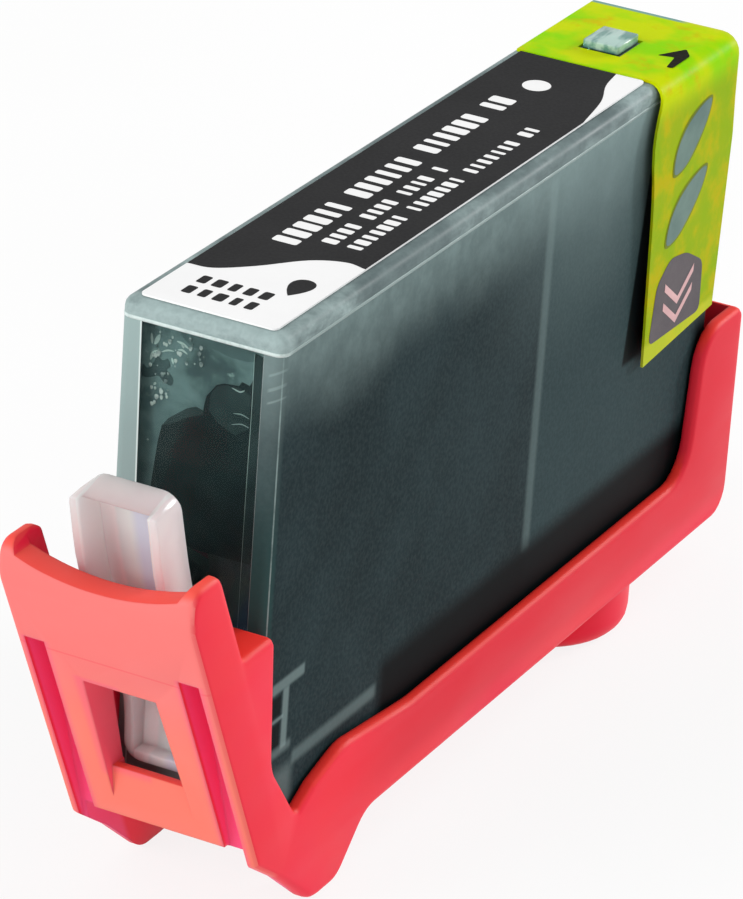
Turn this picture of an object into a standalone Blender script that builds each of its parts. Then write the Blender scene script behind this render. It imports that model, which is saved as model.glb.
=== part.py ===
"""Inkjet ink cartridge in its transport clip, modelled piece by piece in metres, +Z up.

The cartridge stands on the clip's two front feet and on the cup under its outlet. Its length
runs along Y with the latch lever and the clip's handle at -Y, and the pull tape hangs at +X.
Every piece is drawn in the tank's own frame, where Y is measured from the tank's front face
and Z from the ground. One parent empty then centres the whole cartridge on the origin.
"""

import math

import bmesh
import bpy
from mathutils import Vector

# Tank
TANK_LENGTH = 0.0775
TANK_WIDTH = 0.0135
TANK_HEIGHT = 0.0406
TANK_LIFT = 0.0081
TANK_WALL = 0.0011
TANK_CORNER = 0.0009
FLOOR_RISE = 0.0032
FLOOR_THICKNESS = 0.0011
PARTITION_BEFORE_OUTLET = 0.0181
PARTITION_THICKNESS = 0.0011
INK_SLOT_HEIGHT = 0.0030
INK_SLOT_WIDTH = 0.0050
PRISM_BEFORE_PARTITION = 0.0146
PRISM_LENGTH = 0.0060
PRISM_HEIGHT = 0.0034
PRISM_WIDTH = 0.0060
SKIRT_RIBS_FROM_PARTITION = (-0.0166, 0.0044)

# Lid
LID_THICKNESS = 0.0014
LID_EDGE_RADIUS = 0.0011
LID_RIB_DEPTH = 0.0014
LID_RIB_THICKNESS = 0.0009
SEAM = 0.0001
VENT_FROM_REAR = 0.0093
VENT_SIDE_SHIFT = 0.0003
VENT_RADIUS = 0.0006
VENT_SEAT_RADIUS = 0.0020
VENT_SEAT_DEPTH = 0.0007
GROOVE_WIDTH = 0.0005
GROOVE_DEPTH = 0.0004
GROOVE_PASSES = 5
GROOVE_PITCH = 0.0011
GROOVE_REACH = 0.0042
CAP_LENGTH = 0.0039
CAP_WIDTH = 0.0032
CAP_HEIGHT = 0.0009
CAP_WALL = 0.0006
FILL_RADIUS = 0.0016
FILL_HEAD_RADIUS = 0.0025
FILL_HEAD_DEPTH = 0.0006
FILL_SHANK_LENGTH = 0.0030
FILL_TIP_RADIUS = 0.0013
FILL_TIP_TAPER = 0.0008

# Label and pull tape
FILM_GAP = 0.00005
LABEL_WIDTH = 0.0112
LABEL_START = 0.0007
LABEL_THICKNESS = 0.00015
TAPE_FROM_REAR = 0.0150
TAPE_WIDTH = 0.0144
TAPE_THICKNESS = 0.00022
TAPE_LEFT_REACH = 0.0060
TAPE_DROP = 0.0236
TAPE_STAND_OFF = 0.0006
TAPE_BOW = 0.0003
TAPE_BEND_RADIUS = 0.0016
TAPE_WINDOW_MARGIN = 0.0003
TAPE_FLARE = 0.0016
TAPE_FLARE_DROP = 0.0048
TAPE_NARROWING = 0.0007
TAPE_END_SLANT = 0.0010

# Ink, foam and outlet
FILL_CLEARANCE = 0.0003
INK_BELOW_LID = 0.0027
FOAM_BELOW_LID = 0.0028
OUTLET_FROM_REAR = 0.0158
OUTLET_BORE = 0.0040
OUTLET_WALL = 0.0013
OUTLET_END = 0.0042
OUTLET_LIP = 0.0006
OUTLET_LIP_DEPTH = 0.0006
FILTER_THICKNESS = 0.0003
SEAL_RING_WIDTH = 0.0016

# Ink line across the tank: place beside the middle, drop below the ink's top and corner radius
INK_SHOULDER = ((0.0012, 0.0010, 0.0008), (0.0002, 0.0035, 0.0006), (-0.0018, 0.0038, 0.0008),
                (-0.0036, 0.0060, 0.0008), (-0.0044, 0.0115, 0.0010))
INK_LEFT_DROP = 0.0130
INK_CORNER = 0.0006

# Chip on the rear face
CHIP_BLOCK_DEPTH = 0.0031
CHIP_BLOCK_MARGIN = 0.0021
CHIP_BLOCK_WIDTH = 0.0128
CHIP_WIDTH = 0.0094
CHIP_HEIGHT = 0.0082
CHIP_THICKNESS = 0.0006
CHIP_CENTRE_HEIGHT = 0.0146
CHIP_DIE_SIZE = 0.0026
CHIP_DIE_DEPTH = 0.0005
CONTACT_COUNT = 4
CONTACT_PITCH = 0.0021
CONTACT_WIDTH = 0.0015
CONTACT_HEIGHT = 0.0056
CONTACT_THICKNESS = 0.00012

# Latch lever
LEVER_WIDTH = 0.0072
LEVER_RIM = 0.0008
LEVER_WEB = 0.0009
LEVER_ABOVE_HANDLE = 0.0046
LEVER_LEAN_OVER = 0.00035
LEVER_CORNER = 0.0014
LEVER_FOOT_BELOW_PIVOT = 0.0016
LEVER_PIVOT_Y = 0.0015
LEVER_PIVOT_Z = 0.0146
LEVER_PIN_RADIUS = 0.0008
LEVER_PIN_REACH = 0.0007
LEVER_PIN_CLEARANCE = 0.0003
LEVER_POCKET_DEPTH = 0.0036
LEVER_POCKET_RISE = 0.0051
LEVER_POCKET_MARGIN = 0.0007
LEVER_POCKET_CORNER = 0.0004
LEVER_ROOT_CORNER = 0.0010
LEVER_HEEL_CORNER = 0.0008
LEVER_ROOT_RISE = 0.0020
LEVER_ROOT_DEPTH = 0.0010

# Lever outline: shares of its reach forward and of its height above its foot
LEVER_REAR_ROWS = ((0.726, 1.0), (0.515, 0.696), (0.287, 0.488), (0.093, 0.288),
                   (-0.034, 0.173))
LEVER_FRONT_ROWS = ((0.152, 0.0), (0.194, 0.192), (0.354, 0.346), (0.523, 0.500),
                    (0.835, 0.715), (1.0, 0.965))

# Transport clip
CLIP_GAP = 0.0003
CLIP_WALL = 0.0010
CLIP_FLOOR = 0.0011
RAIL_BOTTOM = 0.0040
RAIL_TOP = 0.0105
RAIL_HUMP_AT = 0.0115
RAIL_HUMP_RISE = 0.0012
RAIL_HUMP_END = 0.0230
VALLEY_AT = 0.0043
VALLEY_DROP = 0.0015
CLIP_EDGE_RADIUS = 0.0006
HANDLE_REACH = 0.0139
HANDLE_TOP = 0.0344
HANDLE_PANEL_BOTTOM = 0.0257
HANDLE_BREAK = 0.0315
WEB_LEAN_SHARE = 0.72
HANDLE_FOOT_Z = 0.0084
HANDLE_FOOT_Y = -0.00235
HANDLE_PANEL_DEPTH = 0.0024
HANDLE_WEB = 0.0009
HANDLE_SIDE_DEPTH = 0.0040
COLUMN_END_Z = 0.0070
SLOT_SET_BACK = 0.0008
POST_OUTER = 0.00555
SLOT_OUTER = 0.0072
POST_INNER = 0.0033
POST_INNER_TOP = 0.0030
PANEL_LEAN_SHARE = 0.44
PANEL_MEETS_POSTS = 0.0104
PANEL_WALL = 0.0008
WINDOW_BOTTOM = 0.0133
WINDOW_TOP = 0.02265
KNOB_WIDTH = 0.0014
KNOB_RISE = 0.0010
KNOB_SLOPE = 0.0005
TOP_DIP = 0.0011
EAR_TOP = 0.0260
EAR_REAR_Y = -0.0010
EAR_INNER = 0.0046
EAR_PLATE = 0.0010
EAR_WEB_STEP = 0.0003
EAR_RETURN_BOTTOM = 0.0150
EAR_ROOM_BOTTOM = 0.0108
LEVER_ROOM_BOTTOM = 0.0100
REAR_REACH = 0.0047
REAR_WALL = 0.0011
REAR_ABOVE_CHIP = 0.0023
REAR_TOWER_LENGTH = 0.0078
REAR_HOOK_DEPTH = 0.0020
REAR_HOOK_HEIGHT = 0.0016
FOOT_START = 0.0023
FOOT_REST_START = 0.0076
FOOT_REST_END = 0.0118
FOOT_END = 0.0160
FOOT_WIDTH = 0.0012
CUP_RADIUS = 0.0079
CUP_WALL = 0.0016
CUP_EDGE = 0.0018
SLOPE_END = 0.0071
PAD_THICKNESS = 0.0012
PAD_CLEARANCE = 0.0003
SNAP_LENGTH = 0.0060
SNAP_HEIGHT = 0.0012
SNAP_REACH = 0.0005
SNAP_SHARES = (0.26, 0.52)

# Clip outline seen from the side: set-backs, rises and corner radii
COLUMN_CORNER = 0.0008
FOOT_HEEL_RISE = 0.0003
FOOT_HEEL_RADIUS = 0.0006
FOOT_FRONT_RADIUS = 0.0032
FOOT_REAR_RADIUS = 0.0028
FOOT_BLEND_RADIUS = 0.0034
REAR_FOOT_RADIUS = 0.0026
REAR_TOP_RADIUS = 0.0010
TOWER_SETBACK = 0.0013
TOWER_RADIUS = 0.0036
RAIL_BLEND_RADIUS = 0.0200
RAIL_HUMP_RADIUS = 0.0060
VALLEY_SIDE_REACH = 0.0026
VALLEY_SIDE_RISE = 0.0014
VALLEY_SIDE_RADIUS = 0.0030
VALLEY_RADIUS = 0.0007
CRADLE_FRONT_RADIUS = 0.0010
CRADLE_REAR_RADIUS = 0.0012
EAR_BASE_SETBACK = 0.0009
EAR_BASE_RISE = 0.0042
EAR_BASE_RADIUS = 0.0040
EAR_CORNER = 0.0009
HANDLE_NECK_RADIUS = 0.0004
HANDLE_REAR_RADIUS = 0.0014
HANDLE_TOP_RADIUS = 0.0016
HANDLE_BREAK_RADIUS = 0.0040
HANDLE_BACK_RADIUS = 0.0030

ARC_STEPS = 5
ROUND_STEPS = 32

# Tools reach past what they cut or join by OVERLAP, and no two share a wall within WALL_STEP
OVERLAP = 0.0004
WALL_STEP = 0.0001
FAR = 0.2000

# Solids are joined and cut at this many times their size, where Blender's Boolean is surest
WORKING_SCALE = 1000.0
WELD_DISTANCE = 0.0005

# Levels and faces that several pieces share
HALF_TANK = TANK_WIDTH / 2
TANK_TOP = TANK_LIFT + TANK_HEIGHT
LID_BOTTOM = TANK_TOP - LID_THICKNESS
BODY_TOP = LID_BOTTOM - SEAM
INNER_HALF = HALF_TANK - TANK_WALL
OUTLET_AT = TANK_LENGTH - OUTLET_FROM_REAR
PARTITION_AT = OUTLET_AT - PARTITION_BEFORE_OUTLET
PRISM_AT = PARTITION_AT - PRISM_BEFORE_PARTITION
FILL_AT = PARTITION_AT / 2
VENT_AT = TANK_LENGTH - VENT_FROM_REAR
TAPE_START = TANK_LENGTH - TAPE_FROM_REAR
LABEL_LENGTH = TAPE_START - LABEL_START - SEAM
SNAP_PLACES = tuple(share * TANK_LENGTH for share in SNAP_SHARES)
FLOOR_TOP = TANK_LIFT + FLOOR_RISE + FLOOR_THICKNESS
INK_TOP = LID_BOTTOM - INK_BELOW_LID
FOAM_TOP = LID_BOTTOM - FOAM_BELOW_LID
FOAM_JOINT = (FLOOR_TOP + FOAM_TOP) / 2
REAR_ROOM_START = PARTITION_AT + PARTITION_THICKNESS
REAR_ROOM_END = TANK_LENGTH - TANK_WALL
CLIP_INNER_HALF = HALF_TANK + CLIP_GAP
CLIP_HALF = CLIP_INNER_HALF + CLIP_WALL
CLIP_REAR = TANK_LENGTH + REAR_REACH
CLIP_FLOOR_TOP = RAIL_BOTTOM + CLIP_FLOOR
OUTLET_RADIUS = OUTLET_BORE + OUTLET_WALL
CHIP_FACE = TANK_LENGTH + CHIP_BLOCK_DEPTH
CHIP_BLOCK_TOP = CHIP_CENTRE_HEIGHT + CHIP_HEIGHT / 2 + CHIP_BLOCK_MARGIN
REAR_TOP = CHIP_BLOCK_TOP + REAR_ABOVE_CHIP
HANDLE_LEAN = (HANDLE_REACH + HANDLE_FOOT_Y) / (HANDLE_BREAK - HANDLE_FOOT_Z)
WEB_LEAN = WEB_LEAN_SHARE * HANDLE_LEAN
PANEL_LEAN = PANEL_LEAN_SHARE * HANDLE_LEAN
LEVER_TOP = HANDLE_TOP + LEVER_ABOVE_HANDLE
LEVER_FOOT = LEVER_PIVOT_Z - LEVER_FOOT_BELOW_PIVOT
LEVER_REACH = HANDLE_REACH - HANDLE_PANEL_DEPTH + LEVER_LEAN_OVER
LEVER_POCKET_TOP = LEVER_PIVOT_Z + LEVER_POCKET_RISE
FRAME_Y = -(CLIP_REAR - HANDLE_REACH) / 2
ALONG_X = "X"
ALONG_Y = "Y"
ALONG_Z = "Z"


def clear_scene():
    """Remove whatever the startup file holds."""
    for item in list(bpy.data.objects):
        bpy.data.objects.remove(item, do_unlink=True)


def material(name, colour, roughness, metallic=0.0, transmission=0.0, alpha=1.0):
    """Return a Principled material with one colour and finish."""
    finish = bpy.data.materials.new(name)
    finish.use_nodes = True
    shader = finish.node_tree.nodes["Principled BSDF"]
    shader.inputs["Base Color"].default_value = (*colour, 1.0)
    shader.inputs["Roughness"].default_value = roughness
    shader.inputs["Metallic"].default_value = metallic
    shader.inputs["Transmission Weight"].default_value = transmission
    shader.inputs["Alpha"].default_value = alpha
    finish.diffuse_color = (*colour, alpha)
    return finish


def rounded(corners, steps=ARC_STEPS):
    """Turn (u, v, radius) corners into an outline whose corners are arcs."""
    outline = []
    count = len(corners)
    for index, (u, v, radius) in enumerate(corners):
        here = Vector((u, v))
        before = Vector(corners[index - 1][:2]) - here
        after = Vector(corners[(index + 1) % count][:2]) - here
        turn = before.angle(after)
        if radius <= 0 or abs(turn - math.pi) < 0.01:
            outline.append((u, v))
            continue
        reach = radius / math.tan(turn / 2)
        reach = min(reach, 0.49 * before.length, 0.49 * after.length)
        true_radius = reach * math.tan(turn / 2)
        bisector = (before.normalized() + after.normalized()).normalized()
        centre = here + bisector * (true_radius / math.sin(turn / 2))
        start = here + before.normalized() * reach - centre
        end = here + after.normalized() * reach - centre
        sweep = start.angle_signed(end)
        first = math.atan2(start.y, start.x)
        for step in range(steps + 1):
            angle = first - sweep * step / steps
            outline.append((centre.x + true_radius * math.cos(angle),
                            centre.y + true_radius * math.sin(angle)))
    return outline


def sharp(*points):
    """Return an outline whose corners are all sharp."""
    return [(u, v) for u, v in points]


def place(axis, u, v, depth):
    """Put an outline point in space: YZ outlines run along X, XZ along Y, XY along Z."""
    if axis == ALONG_X:
        return Vector((depth, u, v))
    if axis == ALONG_Y:
        return Vector((u, depth, v))
    return Vector((u, v, depth))


def new_object(name, mesh_builder):
    """Wrap a finished bmesh in an object with outward faces, at the working scale."""
    bmesh.ops.recalc_face_normals(mesh_builder, faces=mesh_builder.faces)
    bmesh.ops.scale(mesh_builder, vec=Vector((1.0, 1.0, 1.0)) * WORKING_SCALE,
                    verts=mesh_builder.verts)
    mesh = bpy.data.meshes.new(name)
    mesh_builder.to_mesh(mesh)
    mesh_builder.free()
    item = bpy.data.objects.new(name, mesh)
    bpy.context.scene.collection.objects.link(item)
    return item


def prism(name, axis, outline, start, end):
    """Extrude a closed outline along one axis from start to end."""
    builder = bmesh.new()
    corners = [builder.verts.new(place(axis, u, v, start)) for u, v in outline]
    face = builder.faces.new(corners)
    grown = bmesh.ops.extrude_face_region(builder, geom=[face])
    moved = [part for part in grown["geom"] if isinstance(part, bmesh.types.BMVert)]
    bmesh.ops.translate(builder, verts=moved, vec=place(axis, 0.0, 0.0, end - start))
    return new_object(name, builder)


def box(name, low, high):
    """Return a plain block between two corners."""
    outline = sharp((low[0], low[1]), (high[0], low[1]), (high[0], high[1]), (low[0], high[1]))
    return prism(name, ALONG_Z, outline, low[2], high[2])


def turned(name, centre, profile, axis=ALONG_Z, steps=ROUND_STEPS, closed=False):
    """Spin a (radius, height) profile about an axis; a closed profile makes a ring."""
    builder = bmesh.new()
    rings = []
    for radius, height in profile:
        ring = []
        for step in range(steps if radius > 0 else 1):
            angle = math.tau * step / steps
            side = (radius * math.cos(angle), radius * math.sin(angle))
            if axis == ALONG_X:
                point = Vector((height, side[0], side[1]))
            else:
                point = Vector((side[0], side[1], height))
            ring.append(builder.verts.new(Vector(centre) + point))
        rings.append(ring)
    pairs = list(zip(rings, rings[1:]))
    if closed:
        pairs.append((rings[-1], rings[0]))
    for lower, upper in pairs:
        for step in range(steps):
            after = (step + 1) % steps
            corners = [lower[step % len(lower)], lower[after % len(lower)],
                       upper[after % len(upper)], upper[step % len(upper)]]
            unique = list(dict.fromkeys(corners))
            if len(unique) > 2:
                builder.faces.new(unique)
    return new_object(name, builder)


def disc(name, centre, radius, low, high, axis=ALONG_Z, steps=ROUND_STEPS):
    """Return a round plate or pin between two heights."""
    profile = ((0.0, low), (radius, low), (radius, high), (0.0, high))
    return turned(name, centre, profile, axis, steps)


def tidy_faces(mesh):
    """Merge doubled corners and leave flat triangles, so that the next cut stays exact."""
    builder = bmesh.new()
    builder.from_mesh(mesh)
    bmesh.ops.remove_doubles(builder, verts=builder.verts, dist=WELD_DISTANCE)
    bmesh.ops.dissolve_degenerate(builder, edges=builder.edges, dist=WELD_DISTANCE)
    bmesh.ops.triangulate(builder, faces=builder.faces)
    builder.to_mesh(mesh)
    builder.free()


def combine(target, tool, operation):
    """Join, cut or intersect the target with a tool, and remove the tool."""
    step = target.modifiers.new(tool.name, "BOOLEAN")
    step.operation = operation
    step.solver = "EXACT"
    step.object = tool
    depsgraph = bpy.context.evaluated_depsgraph_get()
    result = bpy.data.meshes.new_from_object(target.evaluated_get(depsgraph))
    tidy_faces(result)
    before = target.data
    target.modifiers.clear()
    target.data = result
    bpy.data.meshes.remove(before)
    bpy.data.objects.remove(tool, do_unlink=True)
    return target


def cut(target, tool):
    """Take the tool's volume out of the target."""
    return combine(target, tool, "DIFFERENCE")


def join(target, tool):
    """Weld the tool to the target."""
    return combine(target, tool, "UNION")


def finish(item, look, parent, origin=(0.0, 0.0, 0.0), smooth_angle=30.0):
    """Bring a piece to real size about its origin, dress it and parent it to the frame."""
    for corner in item.data.vertices:
        corner.co = corner.co / WORKING_SCALE - Vector(origin)
    item.location = origin
    item.data.name = item.name
    item.data.materials.clear()
    item.data.materials.append(look)
    item.data.shade_smooth()
    item.data.set_sharp_from_angle(angle=math.radians(smooth_angle))
    item.parent = parent
    return item


def path_with_bends(corners, steps=ARC_STEPS):
    """Turn (u, v, radius) corners into an open path whose inner corners are arcs."""
    path = [corners[0][:2]]
    for index in range(1, len(corners) - 1):
        before, here, after = corners[index - 1], corners[index], corners[index + 1]
        bend = rounded(((*before[:2], 0.0), here, (*after[:2], 0.0)), steps)
        path += bend[1:-1]
    path.append(corners[-1][:2])
    return path


def strip(path, thickness):
    """Give an open path a thickness, with mitred corners, as a closed outline."""
    half = thickness / 2
    left = []
    right = []
    for index, point in enumerate(path):
        here = Vector(point)
        before = here - Vector(path[index - 1]) if index > 0 else None
        after = Vector(path[index + 1]) - here if index < len(path) - 1 else None
        along_in = (before or after).normalized()
        along_out = (after or before).normalized()
        along = (along_in + along_out).normalized()
        normal = Vector((-along.y, along.x))
        reach = half / max(0.3, normal.dot(Vector((-along_in.y, along_in.x))))
        left.append(tuple(here + normal * reach))
        right.append(tuple(here - normal * reach))
    return left + right[::-1]


def smooth(points, steps=4):
    """Return a smooth path through the points, each span drawn in a few steps."""
    guides = [Vector(point) for point in points]
    guides = [2 * guides[0] - guides[1], *guides, 2 * guides[-1] - guides[-2]]
    path = []
    for first, start, end, last in zip(guides, guides[1:], guides[2:], guides[3:]):
        for step in range(steps):
            t = step / steps
            point = 0.5 * (2 * start + (end - first) * t
                           + (2 * first - 5 * start + 4 * end - last) * t ** 2
                           + (3 * start - first - 3 * end + last) * t ** 3)
            path.append(tuple(point))
    path.append(tuple(guides[-2]))
    return path


def rounded_box_outline(half_width, start, end, radius):
    """Return the plan outline of a box with rounded upright edges."""
    return rounded(((-half_width, start, radius), (half_width, start, radius),
                    (half_width, end, radius), (-half_width, end, radius)))


def make_tank_body():
    """Tank: two rooms, floor over an open skirt, outlet tube, lever pocket and chip block."""
    body = prism("tank_body", ALONG_Z,
                 rounded_box_outline(HALF_TANK, 0.0, TANK_LENGTH, TANK_CORNER),
                 TANK_LIFT, BODY_TOP)
    chip_half = CHIP_BLOCK_WIDTH / 2
    join(body, prism("chip_block", ALONG_Z,
                     rounded_box_outline(chip_half, TANK_LENGTH - TANK_WALL, CHIP_FACE,
                                         TANK_CORNER / 2),
                     TANK_LIFT, CHIP_BLOCK_TOP))
    cut_tank_rooms(body)
    cut_tank_skirt(body)
    add_outlet_tube(body)
    add_level_prism(body)
    cut_lever_pocket(body)
    cut_chip_seat(body)
    cut_snap_grooves(body)
    return body


def pocket_back_wall():
    """Depth in Y at which the lever pocket's back wall ends inside the front room."""
    return LEVER_POCKET_DEPTH + TANK_WALL


def cut_tank_rooms(body):
    """Hollow the front ink room, the rear foam room and the slot that joins them."""
    step_top = LEVER_POCKET_TOP + TANK_WALL
    front_room = sharp((TANK_WALL, FAR), (TANK_WALL, step_top), (pocket_back_wall(), step_top),
                       (pocket_back_wall(), FLOOR_TOP), (PARTITION_AT, FLOOR_TOP),
                       (PARTITION_AT, FAR))
    cut(body, prism("front_room", ALONG_X, front_room, -INNER_HALF, INNER_HALF))
    cut(body, box("rear_room", (-INNER_HALF, REAR_ROOM_START, FLOOR_TOP),
                  (INNER_HALF, REAR_ROOM_END, FAR)))
    slot_half = INK_SLOT_WIDTH / 2
    cut(body, box("ink_slot",
                  (-slot_half, PARTITION_AT - OVERLAP, FLOOR_TOP),
                  (slot_half, REAR_ROOM_START + OVERLAP, FLOOR_TOP + INK_SLOT_HEIGHT)))


def cut_tank_skirt(body):
    """Open the underside, so that a plain skirt stands round the raised floor."""
    floor_bottom = FLOOR_TOP - FLOOR_THICKNESS
    cut(body, box("skirt_room",
                  (-INNER_HALF, pocket_back_wall(), -FAR),
                  (INNER_HALF, REAR_ROOM_END, floor_bottom)))
    for index, reach in enumerate(SKIRT_RIBS_FROM_PARTITION):
        middle = PARTITION_AT + reach
        join(body, box(f"skirt_rib_{index}",
                       (-INNER_HALF - OVERLAP, middle - TANK_WALL / 2, TANK_LIFT),
                       (INNER_HALF + OVERLAP, middle + TANK_WALL / 2, floor_bottom + OVERLAP)))


def add_outlet_tube(body):
    """Outlet tube under the foam room, bored through and with a small lip at its end."""
    centre = (0.0, OUTLET_AT, 0.0)
    join(body, disc("outlet_tube", centre, OUTLET_RADIUS, OUTLET_END, FLOOR_TOP - OVERLAP))
    lip_top = OUTLET_END + OUTLET_LIP_DEPTH
    bore = ((0.0, -FAR), (OUTLET_BORE - OUTLET_LIP, -FAR), (OUTLET_BORE - OUTLET_LIP, lip_top),
            (OUTLET_BORE, lip_top), (OUTLET_BORE, FLOOR_TOP + OVERLAP),
            (0.0, FLOOR_TOP + OVERLAP))
    cut(body, turned("outlet_bore", centre, bore))


def prism_outline(margin):
    """Gable outline of the ink level prism, grown by a margin."""
    half = PRISM_WIDTH / 2 + margin
    base = FLOOR_TOP - OVERLAP
    return sharp((-half, base), (half, base), (0.0, FLOOR_TOP + PRISM_HEIGHT + margin))


def add_level_prism(body):
    """Gabled prism on the front room's floor, which a printer reads for the ink level."""
    join(body, prism("level_prism", ALONG_Y, prism_outline(0.0),
                     PRISM_AT, PRISM_AT + PRISM_LENGTH))


def lever_pocket_half():
    """Half the width of the pocket that the lever's lower end stands in."""
    return LEVER_WIDTH / 2 + LEVER_POCKET_MARGIN


def cut_lever_pocket(body):
    """Pocket low in the front face, with a round seat on each side for the lever's pins."""
    half = lever_pocket_half()
    pocket = rounded(((-FAR, LEVER_POCKET_TOP, 0.0),
                      (LEVER_POCKET_DEPTH, LEVER_POCKET_TOP, LEVER_POCKET_CORNER),
                      (LEVER_POCKET_DEPTH, LEVER_FOOT - LEVER_POCKET_MARGIN,
                       LEVER_POCKET_CORNER),
                      (-FAR, LEVER_FOOT - LEVER_POCKET_MARGIN, 0.0)))
    cut(body, prism("lever_pocket", ALONG_X, pocket, -half, half))
    seat = half + LEVER_PIN_REACH + LEVER_PIN_CLEARANCE
    cut(body, disc("pin_seat", (0.0, LEVER_PIVOT_Y, LEVER_PIVOT_Z),
                   LEVER_PIN_RADIUS + LEVER_PIN_CLEARANCE, -seat, seat, ALONG_X, 20))


def cut_chip_seat(body):
    """Shallow seat for the chip board in the rear face of the chip block."""
    half = CHIP_WIDTH / 2 + CLIP_GAP
    tall = CHIP_HEIGHT / 2 + CLIP_GAP
    depth = CHIP_THICKNESS + SEAM
    cut(body, box("chip_seat",
                  (-half, CHIP_FACE - depth, CHIP_CENTRE_HEIGHT - tall),
                  (half, CHIP_FACE + OVERLAP, CHIP_CENTRE_HEIGHT + tall)))
    die = CHIP_DIE_SIZE / 2 + CLIP_GAP
    die_depth = depth + CHIP_DIE_DEPTH + CLIP_GAP
    cut(body, box("die_seat",
                  (-die, CHIP_FACE - die_depth, CHIP_CENTRE_HEIGHT - die),
                  (die, CHIP_FACE - depth + OVERLAP, CHIP_CENTRE_HEIGHT + die)))


def snap_outline(margin):
    """Wedge outline of one snap, in Y and Z about its own middle, grown by a margin."""
    half = SNAP_LENGTH / 2 + margin
    tall = SNAP_HEIGHT / 2 + margin
    return half, tall


def snap_height():
    """Height of the snaps' middle line above the ground."""
    return TANK_LIFT + SNAP_HEIGHT


def cut_snap_grooves(body):
    """Short grooves low in both sides that the clip's snaps reach into."""
    half, tall = snap_outline(CLIP_GAP)
    depth = SNAP_REACH
    for place_y in SNAP_PLACES:
        for side in (-1, 1):
            inner, outer = sorted((side * (HALF_TANK - depth), side * (HALF_TANK + OVERLAP)))
            cut(body, box("snap_groove",
                          (inner, place_y - half, snap_height() - tall),
                          (outer, place_y + half, snap_height() + tall)))


def make_tank_lid():
    """Lid plate with a rounded top edge, locating ribs, vent, vent groove and fill hole."""
    lid = prism("tank_lid", ALONG_Z,
                rounded_box_outline(HALF_TANK, 0.0, TANK_LENGTH, TANK_CORNER),
                LID_BOTTOM, TANK_TOP)
    round_lid_edge(lid)
    rooms = ((TANK_WALL, PARTITION_AT), (REAR_ROOM_START, REAR_ROOM_END))
    for index, (start, end) in enumerate(rooms):
        join(lid, make_locating_rib(f"lid_rib_{index}", start, end))
    cut(lid, disc("vent_hole", vent_centre(), VENT_RADIUS, -FAR, FAR, steps=16))
    cut(lid, disc("vent_seat", vent_centre(), VENT_SEAT_RADIUS,
                  LID_BOTTOM - OVERLAP, LID_BOTTOM + VENT_SEAT_DEPTH, steps=24))
    cut(lid, prism("vent_groove", ALONG_Z, strip(groove_path(), GROOVE_WIDTH),
                   TANK_TOP - GROOVE_DEPTH, TANK_TOP + OVERLAP))
    cut(lid, disc("fill_hole", (0.0, FILL_AT, 0.0), FILL_RADIUS + SEAM, -FAR, FAR, steps=20))
    cut(lid, disc("fill_head_seat", (0.0, FILL_AT, 0.0), FILL_HEAD_RADIUS + SEAM,
                  TANK_TOP - FILL_HEAD_DEPTH - SEAM, TANK_TOP + OVERLAP, steps=24))
    return lid


def round_lid_edge(lid):
    """Round the lid's top edge all the way round."""
    builder = bmesh.new()
    builder.from_mesh(lid.data)
    edges = [edge for edge in builder.edges
             if all(abs(corner.co.z - TANK_TOP * WORKING_SCALE) < 1e-3 for corner in edge.verts)]
    bmesh.ops.bevel(builder, geom=edges, offset=LID_EDGE_RADIUS * WORKING_SCALE, segments=4,
                    profile=0.5, affect="EDGES", clamp_overlap=True)
    builder.to_mesh(lid.data)
    builder.free()


def vent_centre():
    """Place of the vent in the lid."""
    return (-VENT_SIDE_SHIFT, VENT_AT, 0.0)


def make_locating_rib(name, start, end):
    """Frame under the lid that drops inside one room of the tank."""
    half = INNER_HALF - CLIP_GAP
    low = LID_BOTTOM - LID_RIB_DEPTH
    high = LID_BOTTOM + OVERLAP
    first = start + CLIP_GAP
    last = end - CLIP_GAP
    frame = box(name, (-half, first, low), (half, last, high))
    rib = LID_RIB_THICKNESS
    cut(frame, box(f"{name}_room", (-half + rib, first + rib, low - OVERLAP),
                   (half - rib, last - rib, high + OVERLAP)))
    return frame


def groove_path():
    """Centre line of the winding vent groove that runs forward from the vent."""
    row = VENT_AT - VENT_SEAT_RADIUS
    reach = GROOVE_REACH / 2
    path = [(-VENT_SIDE_SHIFT, VENT_AT - VENT_RADIUS / 3), (-VENT_SIDE_SHIFT, row)]
    side = 1
    for _ in range(GROOVE_PASSES):
        path.append((side * reach, row))
        row -= GROOVE_PITCH
        path.append((side * reach, row))
        side = -side
    return path


def make_fill_plug():
    """Headed plug that closes the filling hole, flush with the lid."""
    head_low = TANK_TOP - FILL_HEAD_DEPTH
    low = TANK_TOP - FILL_SHANK_LENGTH
    profile = ((0.0, low), (FILL_TIP_RADIUS, low), (FILL_RADIUS, low + FILL_TIP_TAPER),
               (FILL_RADIUS, head_low), (FILL_HEAD_RADIUS, head_low),
               (FILL_HEAD_RADIUS, TANK_TOP), (0.0, TANK_TOP))
    return turned("fill_plug", (0.0, FILL_AT, 0.0), profile, steps=24)


def make_vent_membrane():
    """Thin disc of vapour membrane in its seat under the vent hole."""
    top = LID_BOTTOM + VENT_SEAT_DEPTH - SEAM
    return disc("vent_membrane", vent_centre(), VENT_SEAT_RADIUS - SEAM, LID_BOTTOM, top,
                steps=24)


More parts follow.
